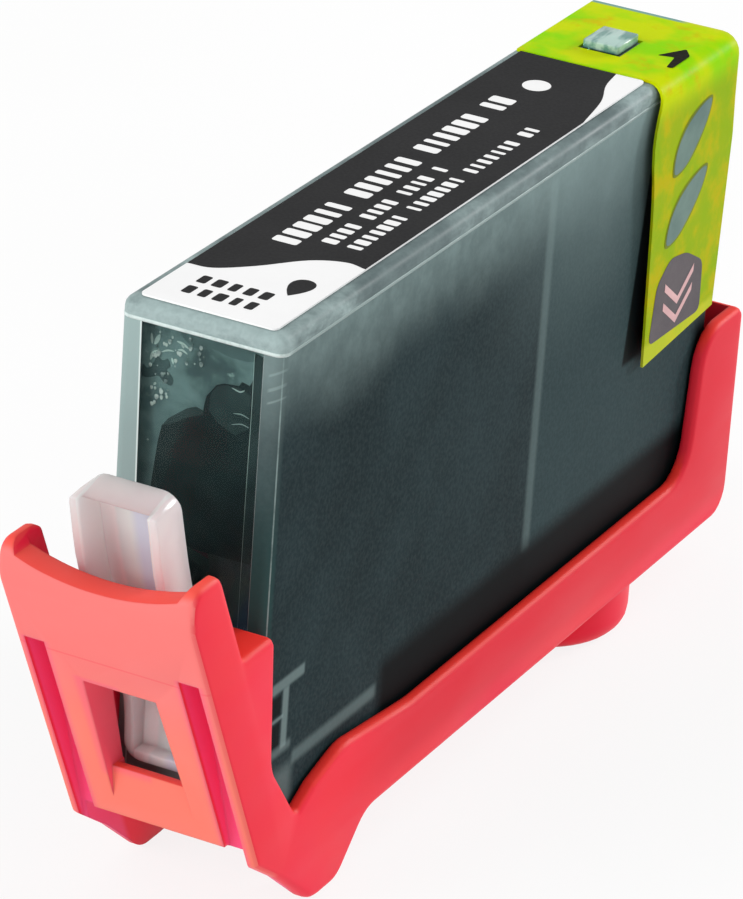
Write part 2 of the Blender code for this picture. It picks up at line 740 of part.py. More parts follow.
def make_vent_cap():
    """Small clear block over the vent, hollow underneath."""
    base = TANK_TOP + FILM_GAP
    low = (-VENT_SIDE_SHIFT - CAP_WIDTH / 2, VENT_AT - CAP_LENGTH / 2, base)
    high = (-VENT_SIDE_SHIFT + CAP_WIDTH / 2, VENT_AT + CAP_LENGTH / 2, base + CAP_HEIGHT)
    cap = box("vent_cap", low, high)
    wall = CAP_WALL
    cut(cap, box("cap_room", (low[0] + wall, low[1] + wall, base - OVERLAP),
                 (high[0] - wall, high[1] - wall, base + CAP_HEIGHT - wall / 2)))
    return cap


def make_top_label():
    """Printed label along the top of the lid, in front of the pull tape."""
    base = TANK_TOP + FILM_GAP
    return prism("top_label", ALONG_Z,
                 rounded_box_outline(LABEL_WIDTH / 2, LABEL_START, LABEL_START + LABEL_LENGTH,
                                     LABEL_THICKNESS * 3),
                 base, base + LABEL_THICKNESS)


def tape_side_outline():
    """Front and rear edge of the tape seen from the side, with the flare under its bend."""
    rear = TAPE_START + TAPE_WIDTH
    end = TANK_TOP - TAPE_DROP
    front_edge = smooth(((TAPE_START, TANK_TOP),
                         (TAPE_START - TAPE_FLARE, TANK_TOP - TAPE_FLARE_DROP),
                         (TAPE_START - TAPE_FLARE / 2, (TANK_TOP + end) / 2),
                         (TAPE_START + TAPE_FLARE / 5, end - TAPE_END_SLANT)))
    return [(rear, FAR), (TAPE_START, FAR), *front_edge, (rear - TAPE_NARROWING, end),
            (rear - TAPE_NARROWING / 2, TANK_TOP - TAPE_FLARE_DROP), (rear, TANK_TOP)]


def make_pull_tape():
    """Pull tape over the vent, bent over the lid's right edge and hanging down that side."""
    top = TANK_TOP + FILM_GAP + TAPE_THICKNESS / 2
    side = HALF_TANK + TAPE_STAND_OFF
    path = path_with_bends(((-TAPE_LEFT_REACH, top, 0.0),
                            (side, top, TAPE_BEND_RADIUS),
                            (side + TAPE_BOW, top - TAPE_DROP * 0.35, TAPE_DROP),
                            (side, top - TAPE_DROP - 2 * TAPE_END_SLANT, 0.0)))
    tape = prism("pull_tape", ALONG_Y, strip(path, TAPE_THICKNESS),
                 TAPE_START - 2 * TAPE_FLARE, TAPE_START + TAPE_WIDTH + TAPE_FLARE)
    combine(tape, prism("tape_edges", ALONG_X, tape_side_outline(), -FAR, FAR), "INTERSECT")
    half = CAP_WIDTH / 2 + TAPE_WINDOW_MARGIN
    long = CAP_LENGTH / 2 + TAPE_WINDOW_MARGIN
    cut(tape, box("tape_window",
                  (-VENT_SIDE_SHIFT - half, VENT_AT - long, TANK_TOP - OVERLAP),
                  (-VENT_SIDE_SHIFT + half, VENT_AT + long, TANK_TOP + 2 * CAP_HEIGHT)))
    return tape


def make_ink_fill():
    """Free ink in the front room, with an air space over its left shoulder."""
    half = INNER_HALF - FILL_CLEARANCE
    base = FLOOR_TOP + FILL_CLEARANCE
    line = [(x, INK_TOP - drop, radius) for x, drop, radius in INK_SHOULDER]
    shoulder = rounded(((-half, base, 0.0), (half, base, 0.0), (half, INK_TOP, INK_CORNER), *line,
                        (-half, INK_TOP - INK_LEFT_DROP, INK_CORNER)), 3)
    start = TANK_WALL + FILL_CLEARANCE
    ink = prism("ink_fill", ALONG_Y, shoulder, start, PARTITION_AT - FILL_CLEARANCE)
    cut(ink, box("pocket_room",
                 (-HALF_TANK, 0.0, 0.0),
                 (HALF_TANK, pocket_back_wall() + FILL_CLEARANCE,
                  LEVER_POCKET_TOP + TANK_WALL + FILL_CLEARANCE)))
    margin = FILL_CLEARANCE
    cut(ink, prism("prism_room", ALONG_Y, prism_outline(margin * 2),
                   PRISM_AT - margin, PRISM_AT + PRISM_LENGTH + margin))
    return ink


def make_foam(name, low, high):
    """One block of foam filling the rear room between two heights."""
    half = INNER_HALF - FILL_CLEARANCE
    return prism(name, ALONG_Z,
                 rounded_box_outline(half, REAR_ROOM_START + FILL_CLEARANCE,
                                     REAR_ROOM_END - FILL_CLEARANCE, FILL_CLEARANCE),
                 low, high)


def filter_seat():
    """Height on which the outlet filter lies, just over the tube's lip."""
    return OUTLET_END + OUTLET_LIP_DEPTH + SEAM


def make_outlet_filter():
    """Fine mesh disc on the lip at the end of the outlet tube."""
    low = filter_seat()
    return disc("outlet_filter", (0.0, OUTLET_AT, 0.0), OUTLET_BORE - SEAM,
                low, low + FILTER_THICKNESS, steps=28)


def make_wick_felt():
    """Dense felt wick standing in the outlet tube, between the filter and the foam."""
    low = filter_seat() + FILTER_THICKNESS + SEAM
    return disc("wick_felt", (0.0, OUTLET_AT, 0.0), OUTLET_BORE - FILL_CLEARANCE / 2,
                low, FLOOR_TOP, steps=28)


def pad_top():
    """Height of the sealing pad's upper face in the clip's cup."""
    return CLIP_FLOOR + SEAM + PAD_THICKNESS


def make_outlet_seal_ring():
    """Soft ring on the end of the outlet tube, just over the clip's sealing pad."""
    inner = OUTLET_RADIUS - SEAL_RING_WIDTH
    low = pad_top() + PAD_CLEARANCE
    high = OUTLET_END - SEAM
    soft = (high - low) / 4
    profile = ((inner, high), (inner, low + soft), (inner + soft, low),
               (OUTLET_RADIUS - soft, low), (OUTLET_RADIUS, low + soft), (OUTLET_RADIUS, high))
    return turned("outlet_seal_ring", (0.0, OUTLET_AT, 0.0), profile, closed=True)


def make_clip_seal_pad():
    """Round sealing pad on the floor of the clip's cup."""
    return disc("clip_seal_pad", (0.0, OUTLET_AT, 0.0), cup_inner_radius() - PAD_CLEARANCE,
                CLIP_FLOOR + SEAM, pad_top())


def make_chip_pieces():
    """Chip board in its seat, the sealed die behind it and the contact pads on its face."""
    back = CHIP_FACE - CHIP_THICKNESS
    half = CHIP_WIDTH / 2
    tall = CHIP_HEIGHT / 2
    board = prism("chip_board", ALONG_Y,
                  rounded(((-half, CHIP_CENTRE_HEIGHT - tall, CHIP_THICKNESS),
                           (half, CHIP_CENTRE_HEIGHT - tall, CHIP_THICKNESS),
                           (half, CHIP_CENTRE_HEIGHT + tall, CHIP_THICKNESS),
                           (-half, CHIP_CENTRE_HEIGHT + tall, CHIP_THICKNESS)), 3),
                  back, CHIP_FACE)
    die_half = CHIP_DIE_SIZE / 2
    die = prism("chip_die", ALONG_Y,
                rounded(((-die_half, CHIP_CENTRE_HEIGHT - die_half, CHIP_DIE_SIZE / 3),
                         (die_half, CHIP_CENTRE_HEIGHT - die_half, CHIP_DIE_SIZE / 3),
                         (die_half, CHIP_CENTRE_HEIGHT + die_half, CHIP_DIE_SIZE / 3),
                         (-die_half, CHIP_CENTRE_HEIGHT + die_half, CHIP_DIE_SIZE / 3))),
                back - SEAM - CHIP_DIE_DEPTH, back - SEAM)
    contacts = []
    first = -CONTACT_PITCH * (CONTACT_COUNT - 1) / 2
    for index in range(CONTACT_COUNT):
        middle = first + CONTACT_PITCH * index
        contacts.append(box(
            f"chip_contact_{index + 1}",
            (middle - CONTACT_WIDTH / 2, CHIP_FACE + FILM_GAP,
             CHIP_CENTRE_HEIGHT - CONTACT_HEIGHT / 2),
            (middle + CONTACT_WIDTH / 2, CHIP_FACE + FILM_GAP + CONTACT_THICKNESS,
             CHIP_CENTRE_HEIGHT + CONTACT_HEIGHT / 2)))
    return board, die, contacts


def lever_path(rows):
    """One outline of the lever in Y and Z, from its shares of reach and height."""
    height = LEVER_TOP - LEVER_FOOT
    return smooth([(-reach * LEVER_REACH, LEVER_FOOT + rise * height) for reach, rise in rows])


def make_latch_lever():
    """Latch lever: a rim round a thin web, open to the front, on a root with two pins."""
    root = LEVER_PIVOT_Y + LEVER_PIN_RADIUS + CLIP_GAP / 2
    rear = lever_path(LEVER_REAR_ROWS)
    outline = (lever_path(LEVER_FRONT_ROWS) + rear
               + rounded(((LEVER_ROOT_DEPTH, LEVER_PIVOT_Z + LEVER_ROOT_RISE, 0.0),
                          (root, LEVER_PIVOT_Z + LEVER_PIN_RADIUS, LEVER_ROOT_CORNER),
                          (root, LEVER_FOOT, LEVER_HEEL_CORNER), (0.0, LEVER_FOOT, 0.0)))[0:-1])
    half = LEVER_WIDTH / 2
    lever = prism("latch_lever", ALONG_X, outline, -half, half)
    face = rounded(((-half, LEVER_FOOT, LEVER_CORNER), (half, LEVER_FOOT, LEVER_CORNER),
                    (half, LEVER_TOP, LEVER_CORNER), (-half, LEVER_TOP, LEVER_CORNER)))
    combine(lever, prism("lever_face", ALONG_Y, face, -FAR, FAR), "INTERSECT")
    web_line = [(y - LEVER_WEB, z) for y, z in rear if z < LEVER_TOP - LEVER_RIM]
    recess = ([(-FAR, LEVER_TOP - 2 * LEVER_RIM), (web_line[0][0], LEVER_TOP - LEVER_RIM)]
              + web_line + [(web_line[-1][0], LEVER_FOOT + LEVER_RIM),
                            (-FAR, LEVER_FOOT + LEVER_RIM)])
    cut(lever, prism("lever_recess", ALONG_X, recess, -half + LEVER_RIM, half - LEVER_RIM))
    pin_end = lever_pocket_half() + LEVER_PIN_REACH
    join(lever, disc("lever_pin", (0.0, LEVER_PIVOT_Y, LEVER_PIVOT_Z), LEVER_PIN_RADIUS,
                     -pin_end, pin_end, ALONG_X, 20))
    return lever


def handle_face(z):
    """Y of the handle's leaning front face at a height."""
    return HANDLE_FOOT_Y - HANDLE_LEAN * (z - HANDLE_FOOT_Z)


def web_face(z):
    """Y of the front of the web behind the two slots."""
    return HANDLE_FOOT_Y + SLOT_SET_BACK - WEB_LEAN * (z - HANDLE_FOOT_Z)


def web_rear(z):
    """Y of the rear of the handle's web."""
    return web_face(z) + HANDLE_WEB


def panel_face(z):
    """Y of the front of the set-back panel between the posts, under the window."""
    return handle_face(PANEL_MEETS_POSTS) - PANEL_LEAN * (z - PANEL_MEETS_POSTS)


def make_side_outline():
    """Outline of the clip from the side: handle, ear, rail, rear tower, rail and front foot."""
    tower_front = CLIP_REAR - REAR_TOWER_LENGTH
    handle_rear = -HANDLE_REACH + HANDLE_SIDE_DEPTH
    handle_rear_low = handle_rear + HANDLE_LEAN * (HANDLE_TOP - EAR_TOP)
    valley = RAIL_TOP - VALLEY_DROP
    return rounded((
        (handle_face(COLUMN_END_Z), COLUMN_END_Z, COLUMN_CORNER),
        (FOOT_START, RAIL_BOTTOM + FOOT_HEEL_RISE, FOOT_HEEL_RADIUS),
        (FOOT_REST_START, 0.0, FOOT_FRONT_RADIUS),
        (FOOT_REST_END, 0.0, FOOT_REAR_RADIUS),
        (FOOT_END, RAIL_BOTTOM, FOOT_BLEND_RADIUS),
        (CLIP_REAR, RAIL_BOTTOM, REAR_FOOT_RADIUS),
        (CLIP_REAR, REAR_TOP, REAR_TOP_RADIUS),
        (tower_front, REAR_TOP, TOWER_RADIUS),
        (tower_front - TOWER_SETBACK, RAIL_TOP, TOWER_RADIUS),
        (RAIL_HUMP_END, RAIL_TOP, RAIL_BLEND_RADIUS),
        (RAIL_HUMP_AT, RAIL_TOP + RAIL_HUMP_RISE, RAIL_HUMP_RADIUS),
        (VALLEY_AT + VALLEY_SIDE_REACH, valley + VALLEY_SIDE_RISE, VALLEY_SIDE_RADIUS),
        (VALLEY_AT, valley, VALLEY_RADIUS),
        (EAR_REAR_Y + EAR_BASE_SETBACK, RAIL_TOP + EAR_BASE_RISE, EAR_BASE_RADIUS),
        (EAR_REAR_Y, EAR_TOP, EAR_CORNER),
        (handle_rear_low, EAR_TOP, HANDLE_NECK_RADIUS),
        (handle_rear, HANDLE_TOP, HANDLE_REAR_RADIUS),
        (-HANDLE_REACH, HANDLE_TOP, HANDLE_TOP_RADIUS),
        (-HANDLE_REACH, HANDLE_BREAK, HANDLE_BREAK_RADIUS)))


def make_transport_clip():
    """Transport clip: handle, ears, rails, floor, cup, feet and rear tower in one moulding."""
    clip = prism("transport_clip", ALONG_X, make_side_outline(), -CLIP_HALF, CLIP_HALF)
    soften_outer_edges(clip)
    cut_cradle(clip)
    cut_behind_handle(clip)
    cut_handle_front(clip)
    cut_underside(clip)
    cut_top_dip(clip)
    add_cup(clip)
    add_clip_details(clip)
    return clip


def soften_outer_edges(clip):
    """Round the long edges where the clip's two outer sides meet its outline."""
    builder = bmesh.new()
    builder.from_mesh(clip.data)
    edges = [edge for edge in builder.edges
             if all(abs(abs(corner.co.x) - CLIP_HALF * WORKING_SCALE) < 1e-3
                    for corner in edge.verts)
             and edge.verts[0].co.x * edge.verts[1].co.x > 0]
    bmesh.ops.bevel(builder, geom=edges, offset=CLIP_EDGE_RADIUS * WORKING_SCALE, segments=3,
                    profile=0.5, affect="EDGES", clamp_overlap=False)
    builder.to_mesh(clip.data)
    builder.free()


def slope_top(y):
    """Height of the sloped floor's upper face between the handle's foot and the flat floor."""
    rise = (HANDLE_FOOT_Z + CLIP_FLOOR / 2 - CLIP_FLOOR_TOP) / (SLOPE_END - HANDLE_FOOT_Y)
    return CLIP_FLOOR_TOP + rise * (SLOPE_END - y)


def cut_cradle(clip):
    """Open the cradle that the tank sits in, between the ears and the rear wall."""
    room = rounded(((EAR_REAR_Y, slope_top(EAR_REAR_Y), 0.0),
                    (SLOPE_END, CLIP_FLOOR_TOP, CRADLE_FRONT_RADIUS),
                    (CLIP_REAR - REAR_WALL, CLIP_FLOOR_TOP, CRADLE_REAR_RADIUS),
                    (CLIP_REAR - REAR_WALL, FAR, 0.0),
                    (EAR_REAR_Y, FAR, 0.0)))
    cut(clip, prism("cradle", ALONG_X, room, -CLIP_INNER_HALF, CLIP_INNER_HALF))


def cut_behind_handle(clip):
    """Open the lever's room behind the handle, and hollow the two ears from behind."""
    behind = EAR_REAR_Y + OVERLAP
    lever_room = sharp((web_rear(LEVER_ROOM_BOTTOM), LEVER_ROOM_BOTTOM),
                       (web_rear(HANDLE_PANEL_BOTTOM), HANDLE_PANEL_BOTTOM),
                       (web_rear(HANDLE_PANEL_BOTTOM), EAR_TOP + OVERLAP),
                       (behind, EAR_TOP + OVERLAP), (behind, LEVER_ROOM_BOTTOM))
    cut(clip, prism("lever_room", ALONG_X, lever_room, -EAR_INNER, EAR_INNER))
    web_top = HANDLE_PANEL_BOTTOM + HANDLE_WEB
    upright_rear = -HANDLE_REACH + HANDLE_PANEL_DEPTH
    above_ears = rounded(((web_rear(HANDLE_PANEL_BOTTOM), EAR_TOP, 0.0),
                          (web_rear(HANDLE_PANEL_BOTTOM), web_top, 0.0),
                          (handle_face(web_top) + HANDLE_PANEL_DEPTH, web_top,
                           HANDLE_NECK_RADIUS),
                          (upright_rear, HANDLE_BREAK, HANDLE_BACK_RADIUS),
                          (upright_rear, FAR, 0.0), (FAR, FAR, 0.0), (FAR, EAR_TOP, 0.0)))
    half = CLIP_INNER_HALF - WALL_STEP
    cut(clip, prism("above_ears", ALONG_X, above_ears, -half, half))
    cut_ear_rooms(clip, behind)


def cut_ear_rooms(clip, behind):
    """Hollow each ear from behind, leaving its top plate and a short return down its rear."""
    under = EAR_TOP - EAR_PLATE
    return_face = EAR_REAR_Y - EAR_PLATE
    room = sharp((web_rear(EAR_ROOM_BOTTOM) + EAR_WEB_STEP, EAR_ROOM_BOTTOM),
                 (web_rear(under) + EAR_WEB_STEP, under),
                 (return_face, under), (return_face, EAR_RETURN_BOTTOM),
                 (behind, EAR_RETURN_BOTTOM), (behind, EAR_ROOM_BOTTOM))
    for side in (-1, 1):
        start, end = sorted((side * (EAR_INNER - OVERLAP),
                             side * (CLIP_INNER_HALF - 2 * WALL_STEP)))
        cut(clip, prism("ear_room", ALONG_X, room, start, end))


def window_sides():
    """Outline of the window and the recess under it from the front, narrower at the top."""
    high = WINDOW_TOP + OVERLAP
    spread = (POST_INNER - POST_INNER_TOP) / (WINDOW_TOP - WINDOW_BOTTOM)
    foot = POST_INNER + spread * WINDOW_BOTTOM
    return sharp((-foot, 0.0), (foot, 0.0), (POST_INNER_TOP, high), (-POST_INNER_TOP, high))


def cut_handle_front(clip):
    """Cut the slots beside the posts, and the window with the set-back panel under it."""
    low = RAIL_BOTTOM + CLIP_FLOOR
    slot = sharp((-FAR, HANDLE_PANEL_BOTTOM), (web_face(HANDLE_PANEL_BOTTOM), HANDLE_PANEL_BOTTOM),
                 (web_face(low), low), (-FAR, low))
    for side in (-1, 1):
        start, end = sorted((side * POST_OUTER, side * SLOT_OUTER))
        cut(clip, prism("slot", ALONG_X, slot, start, end))
    below = PANEL_MEETS_POSTS - OVERLAP
    window = sharp((-FAR, WINDOW_TOP), (EAR_REAR_Y, WINDOW_TOP), (EAR_REAR_Y, WINDOW_BOTTOM),
                   (panel_face(WINDOW_BOTTOM), WINDOW_BOTTOM), (panel_face(below), below),
                   (-FAR, below))
    opening = prism("window", ALONG_X, window, -POST_OUTER, POST_OUTER)
    combine(opening, prism("window_sides", ALONG_Y, window_sides(), -FAR, FAR), "INTERSECT")
    cut(clip, opening)
    above = WINDOW_BOTTOM + OVERLAP
    foot = slope_top(HANDLE_FOOT_Y) + PANEL_WALL
    behind = sharp((panel_face(above) + PANEL_WALL, above),
                   (handle_face(foot) + PANEL_WALL, foot),
                   (EAR_REAR_Y, foot), (EAR_REAR_Y, above))
    half = POST_INNER - WALL_STEP
    cut(clip, prism("panel_back", ALONG_X, behind, -half, half))


def cut_underside(clip):
    """Slope the underside up to the handle's foot, between the two feet."""
    half = CLIP_HALF - FOOT_WIDTH
    low = sharp((-FAR, HANDLE_FOOT_Z), (HANDLE_FOOT_Y + OVERLAP, HANDLE_FOOT_Z),
                (SLOPE_END - OVERLAP, RAIL_BOTTOM), (FOOT_END + RAIL_BOTTOM, RAIL_BOTTOM),
                (FOOT_END + RAIL_BOTTOM, -FAR), (-FAR, -FAR))
    cut(clip, prism("underside", ALONG_X, low, -half, half))


def cut_top_dip(clip):
    """Cut the handle's top edge down to a shallow dip between its two sloped knobs."""
    half = CLIP_HALF - KNOB_WIDTH
    side_top = HANDLE_TOP - KNOB_RISE
    radius = (half ** 2 + TOP_DIP ** 2) / (2 * TOP_DIP)
    centre = side_top - TOP_DIP + radius
    reach = math.asin(half / radius)
    outline = [(radius * math.sin(reach * step / 8), centre - radius * math.cos(reach * step / 8))
               for step in range(-8, 9)]
    slope_end = half + KNOB_SLOPE
    outline += [(slope_end, HANDLE_TOP), (slope_end, FAR), (-slope_end, FAR),
                (-slope_end, HANDLE_TOP)]
    cut(clip, prism("top_dip", ALONG_Y, outline, -FAR, 0.0))


def cup_inner_radius():
    """Inside radius of the cup under the outlet."""
    return CUP_RADIUS - CUP_WALL


def add_cup(clip):
    """Round cup under the outlet, flush with the clip's sides, and open into the clip."""
    centre = (0.0, OUTLET_AT, 0.0)
    edge = [(CUP_RADIUS - CUP_EDGE * (1 - math.sin(math.radians(angle))),
             CUP_EDGE * (1 - math.cos(math.radians(angle)))) for angle in range(0, 91, 18)]
    profile = [(0.0, 0.0), *edge, (CUP_RADIUS, CLIP_FLOOR_TOP - OVERLAP),
               (0.0, CLIP_FLOOR_TOP - OVERLAP)]
    join(clip, turned("cup", centre, profile, steps=48))
    cut(clip, disc("cup_room", centre, cup_inner_radius(), CLIP_FLOOR, CLIP_FLOOR_TOP + OVERLAP,
                   steps=40))


def add_clip_details(clip):
    """Rear hook over the chip block, snaps in the tank's grooves and ribs under the tank."""
    wall_face = CLIP_REAR - REAR_WALL
    hook_top = REAR_TOP - OVERLAP / 2
    hook = sharp((wall_face + OVERLAP, REAR_TOP - REAR_HOOK_HEIGHT - REAR_HOOK_DEPTH / 2),
                 (wall_face + OVERLAP, hook_top),
                 (wall_face - REAR_HOOK_DEPTH / 2, hook_top),
                 (wall_face - REAR_HOOK_DEPTH, REAR_TOP - REAR_HOOK_HEIGHT / 2),
                 (wall_face - REAR_HOOK_DEPTH, REAR_TOP - REAR_HOOK_HEIGHT))
    hook_half = CHIP_BLOCK_WIDTH / 3
    join(clip, prism("rear_hook", ALONG_X, hook, -hook_half, hook_half))
    half, tall = snap_outline(0.0)
    tip = HALF_TANK - SNAP_REACH + CLIP_GAP
    for place_y in SNAP_PLACES:
        for side in (-1, 1):
            snap = sharp((side * (CLIP_INNER_HALF + OVERLAP), snap_height() - tall),
                         (side * tip, snap_height()),
                         (side * (CLIP_INNER_HALF + OVERLAP), snap_height() + tall))
            join(clip, prism("snap", ALONG_Y, snap, place_y - half, place_y + half))
    for place_y in (SNAP_PLACES[0] - SNAP_LENGTH, REAR_ROOM_END - SNAP_LENGTH):
        join(clip, box("rest_rib",
                       (-CLIP_INNER_HALF - OVERLAP, place_y - CLIP_FLOOR / 2,
                        CLIP_FLOOR_TOP - OVERLAP),
                       (CLIP_INNER_HALF + OVERLAP, place_y + CLIP_FLOOR / 2,
                        TANK_LIFT - CLIP_GAP)))


def make_materials():
    """Return the finishes of the pieces by name."""
    return {
        "smoky_clear": material("smoky_clear", (0.10, 0.13, 0.14), 0.25, transmission=0.6),
        "black_ink": material("black_ink", (0.005, 0.006, 0.007), 0.15),
        "charcoal_print": material("charcoal_print", (0.05, 0.05, 0.05), 0.45),
        "yellow_film": material("yellow_film", (0.55, 0.58, 0.02), 0.35),
        "clear_cap": material("clear_cap", (0.55, 0.66, 0.62), 0.2, transmission=0.6),
        "frosted_rose": material("frosted_rose", (0.72, 0.64, 0.62), 0.3, transmission=0.5),
        "orange_red": material("orange_red", (0.90, 0.11, 0.09), 0.4),
        "soaked_foam": material("soaked_foam", (0.02, 0.022, 0.024), 0.9),
        "pale_felt": material("pale_felt", (0.25, 0.26, 0.27), 0.95),
        "steel_mesh": material("steel_mesh", (0.5, 0.5, 0.5), 0.35, metallic=1.0),
        "soft_rubber": material("soft_rubber", (0.04, 0.04, 0.045), 0.6),
        "circuit_green": material("circuit_green", (0.02, 0.12, 0.05), 0.4),
        "gold": material("gold", (0.80, 0.55, 0.18), 0.25, metallic=1.0),
        "white_disc": material("white_disc", (0.8, 0.8, 0.78), 0.7),
    }


def build():
    """Make every piece and stand the cartridge on the origin."""
    clear_scene()
    looks = make_materials()
    frame = bpy.data.objects.new("cartridge_frame", None)
    bpy.context.scene.collection.objects.link(frame)
    frame.location = (0.0, FRAME_Y, 0.0)
    board, die, contacts = make_chip_pieces()
    pieces = [
        (make_tank_body(), "smoky_clear"),
        (make_tank_lid(), "smoky_clear"),
        (make_fill_plug(), "soft_rubber"),
        (make_vent_membrane(), "white_disc"),
        (make_vent_cap(), "clear_cap"),
        (make_top_label(), "charcoal_print"),
        (make_pull_tape(), "yellow_film"),
        (make_ink_fill(), "black_ink"),
        (make_foam("foam_lower", FLOOR_TOP + FILL_CLEARANCE, FOAM_JOINT - FILL_CLEARANCE / 2),
         "soaked_foam"),
        (make_foam("foam_upper", FOAM_JOINT + FILL_CLEARANCE / 2, FOAM_TOP), "soaked_foam"),
        (make_wick_felt(), "pale_felt"),
        (make_outlet_filter(), "steel_mesh"),
        (make_outlet_seal_ring(), "soft_rubber"),
        (board, "circuit_green"),
        (die, "soft_rubber"),
        *[(contact, "gold") for contact in contacts],
        (make_transport_clip(), "orange_red"),
        (make_clip_seal_pad(), "soft_rubber"),
    ]
    for item, look in pieces:
        finish(item, looks[look], frame)
    pivot = (0.0, LEVER_PIVOT_Y, LEVER_PIVOT_Z)
    finish(make_latch_lever(), looks["frosted_rose"], frame, origin=pivot)


build()
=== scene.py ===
"""Looks of the slim ink cartridge in its transport clip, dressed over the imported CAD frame.

The finishes come first, then the tools that make and dress meshes, the studio, and one class for
each sub-assembly. Coordinates of shapes are in millimetres unless they are said to be in metres.
"""

import logging
import math
from dataclasses import dataclass
from enum import Enum
from typing import Iterable, Sequence

import bmesh
import bpy
from mathutils import Matrix, Vector
from mathutils.bvhtree import BVHTree


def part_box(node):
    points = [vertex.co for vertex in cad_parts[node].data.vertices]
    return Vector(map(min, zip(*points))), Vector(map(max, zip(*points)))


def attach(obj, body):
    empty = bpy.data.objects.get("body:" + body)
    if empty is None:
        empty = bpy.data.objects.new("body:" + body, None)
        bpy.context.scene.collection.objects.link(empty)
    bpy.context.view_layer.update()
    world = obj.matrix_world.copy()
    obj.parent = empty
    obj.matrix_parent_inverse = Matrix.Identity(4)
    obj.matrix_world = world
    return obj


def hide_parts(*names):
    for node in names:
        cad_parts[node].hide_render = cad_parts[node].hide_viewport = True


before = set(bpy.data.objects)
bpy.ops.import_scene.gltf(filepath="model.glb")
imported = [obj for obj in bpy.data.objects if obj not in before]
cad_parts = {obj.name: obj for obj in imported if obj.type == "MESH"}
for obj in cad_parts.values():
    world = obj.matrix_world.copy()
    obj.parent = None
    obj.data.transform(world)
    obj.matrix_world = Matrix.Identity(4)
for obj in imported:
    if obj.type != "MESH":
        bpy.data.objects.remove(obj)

logging.basicConfig(level=logging.INFO, format="%(levelname)s %(message)s")
LOG = logging.getLogger("cartridge")

MM = 0.001
TANK_FRONT = -34.15
TANK_TOP = 48.7
PRINT_LIFT = 0.004
PRINT_DEPTH = 0.012

Colour = tuple[int, int, int]
Point = tuple[float, float]
Socket = bpy.types.NodeSocket


class Body(Enum):
    """The two moving groups of the cartridge."""

    CARTRIDGE = "cartridge"
    LEVER = "lever"


def linear(tone: Colour) -> tuple[float, ...]:
    """Turn a screen colour of 0 to 255 into the four linear numbers that a shader takes.

    Args:
        tone: The screen colour.

    Returns:
        Linear red, green and blue, and 1 for opaque.
    """
    shares = [value / 255 for value in tone]
    return (*(share / 12.92 if share <= 0.04045 else ((share + 0.055) / 1.055) ** 2.4
              for share in shares), 1.0)


class Nodes:
    """A node tree with short calls to add and feed nodes."""

    def __init__(self, tree: bpy.types.NodeTree) -> None:
        """Wrap a tree."""
        self.tree = tree

    def add(self, kind: str, sources: dict[int | str, object] | None = None,
            **settings: object) -> bpy.types.Node:
        """Add a node, set its own properties and feed its inputs.

        Args:
            kind: The node's class name.
            sources: What feeds each input, by the input's name or number.
            **settings: Properties of the node.

        Returns:
            The node.
        """
        node = self.tree.nodes.new(kind)
        for key, value in settings.items():
            setattr(node, key, value)
        for key, value in (sources or {}).items():
            self.feed(node.inputs[key], value)
        return node

    def feed(self, socket: Socket, value: object) -> None:
        """Link a socket to another socket, or set its number or screen colour."""
        if isinstance(value, Socket):
            self.tree.links.new(value, socket)
        else:
            socket.default_value = linear(value) if socket.type == "RGBA" else value


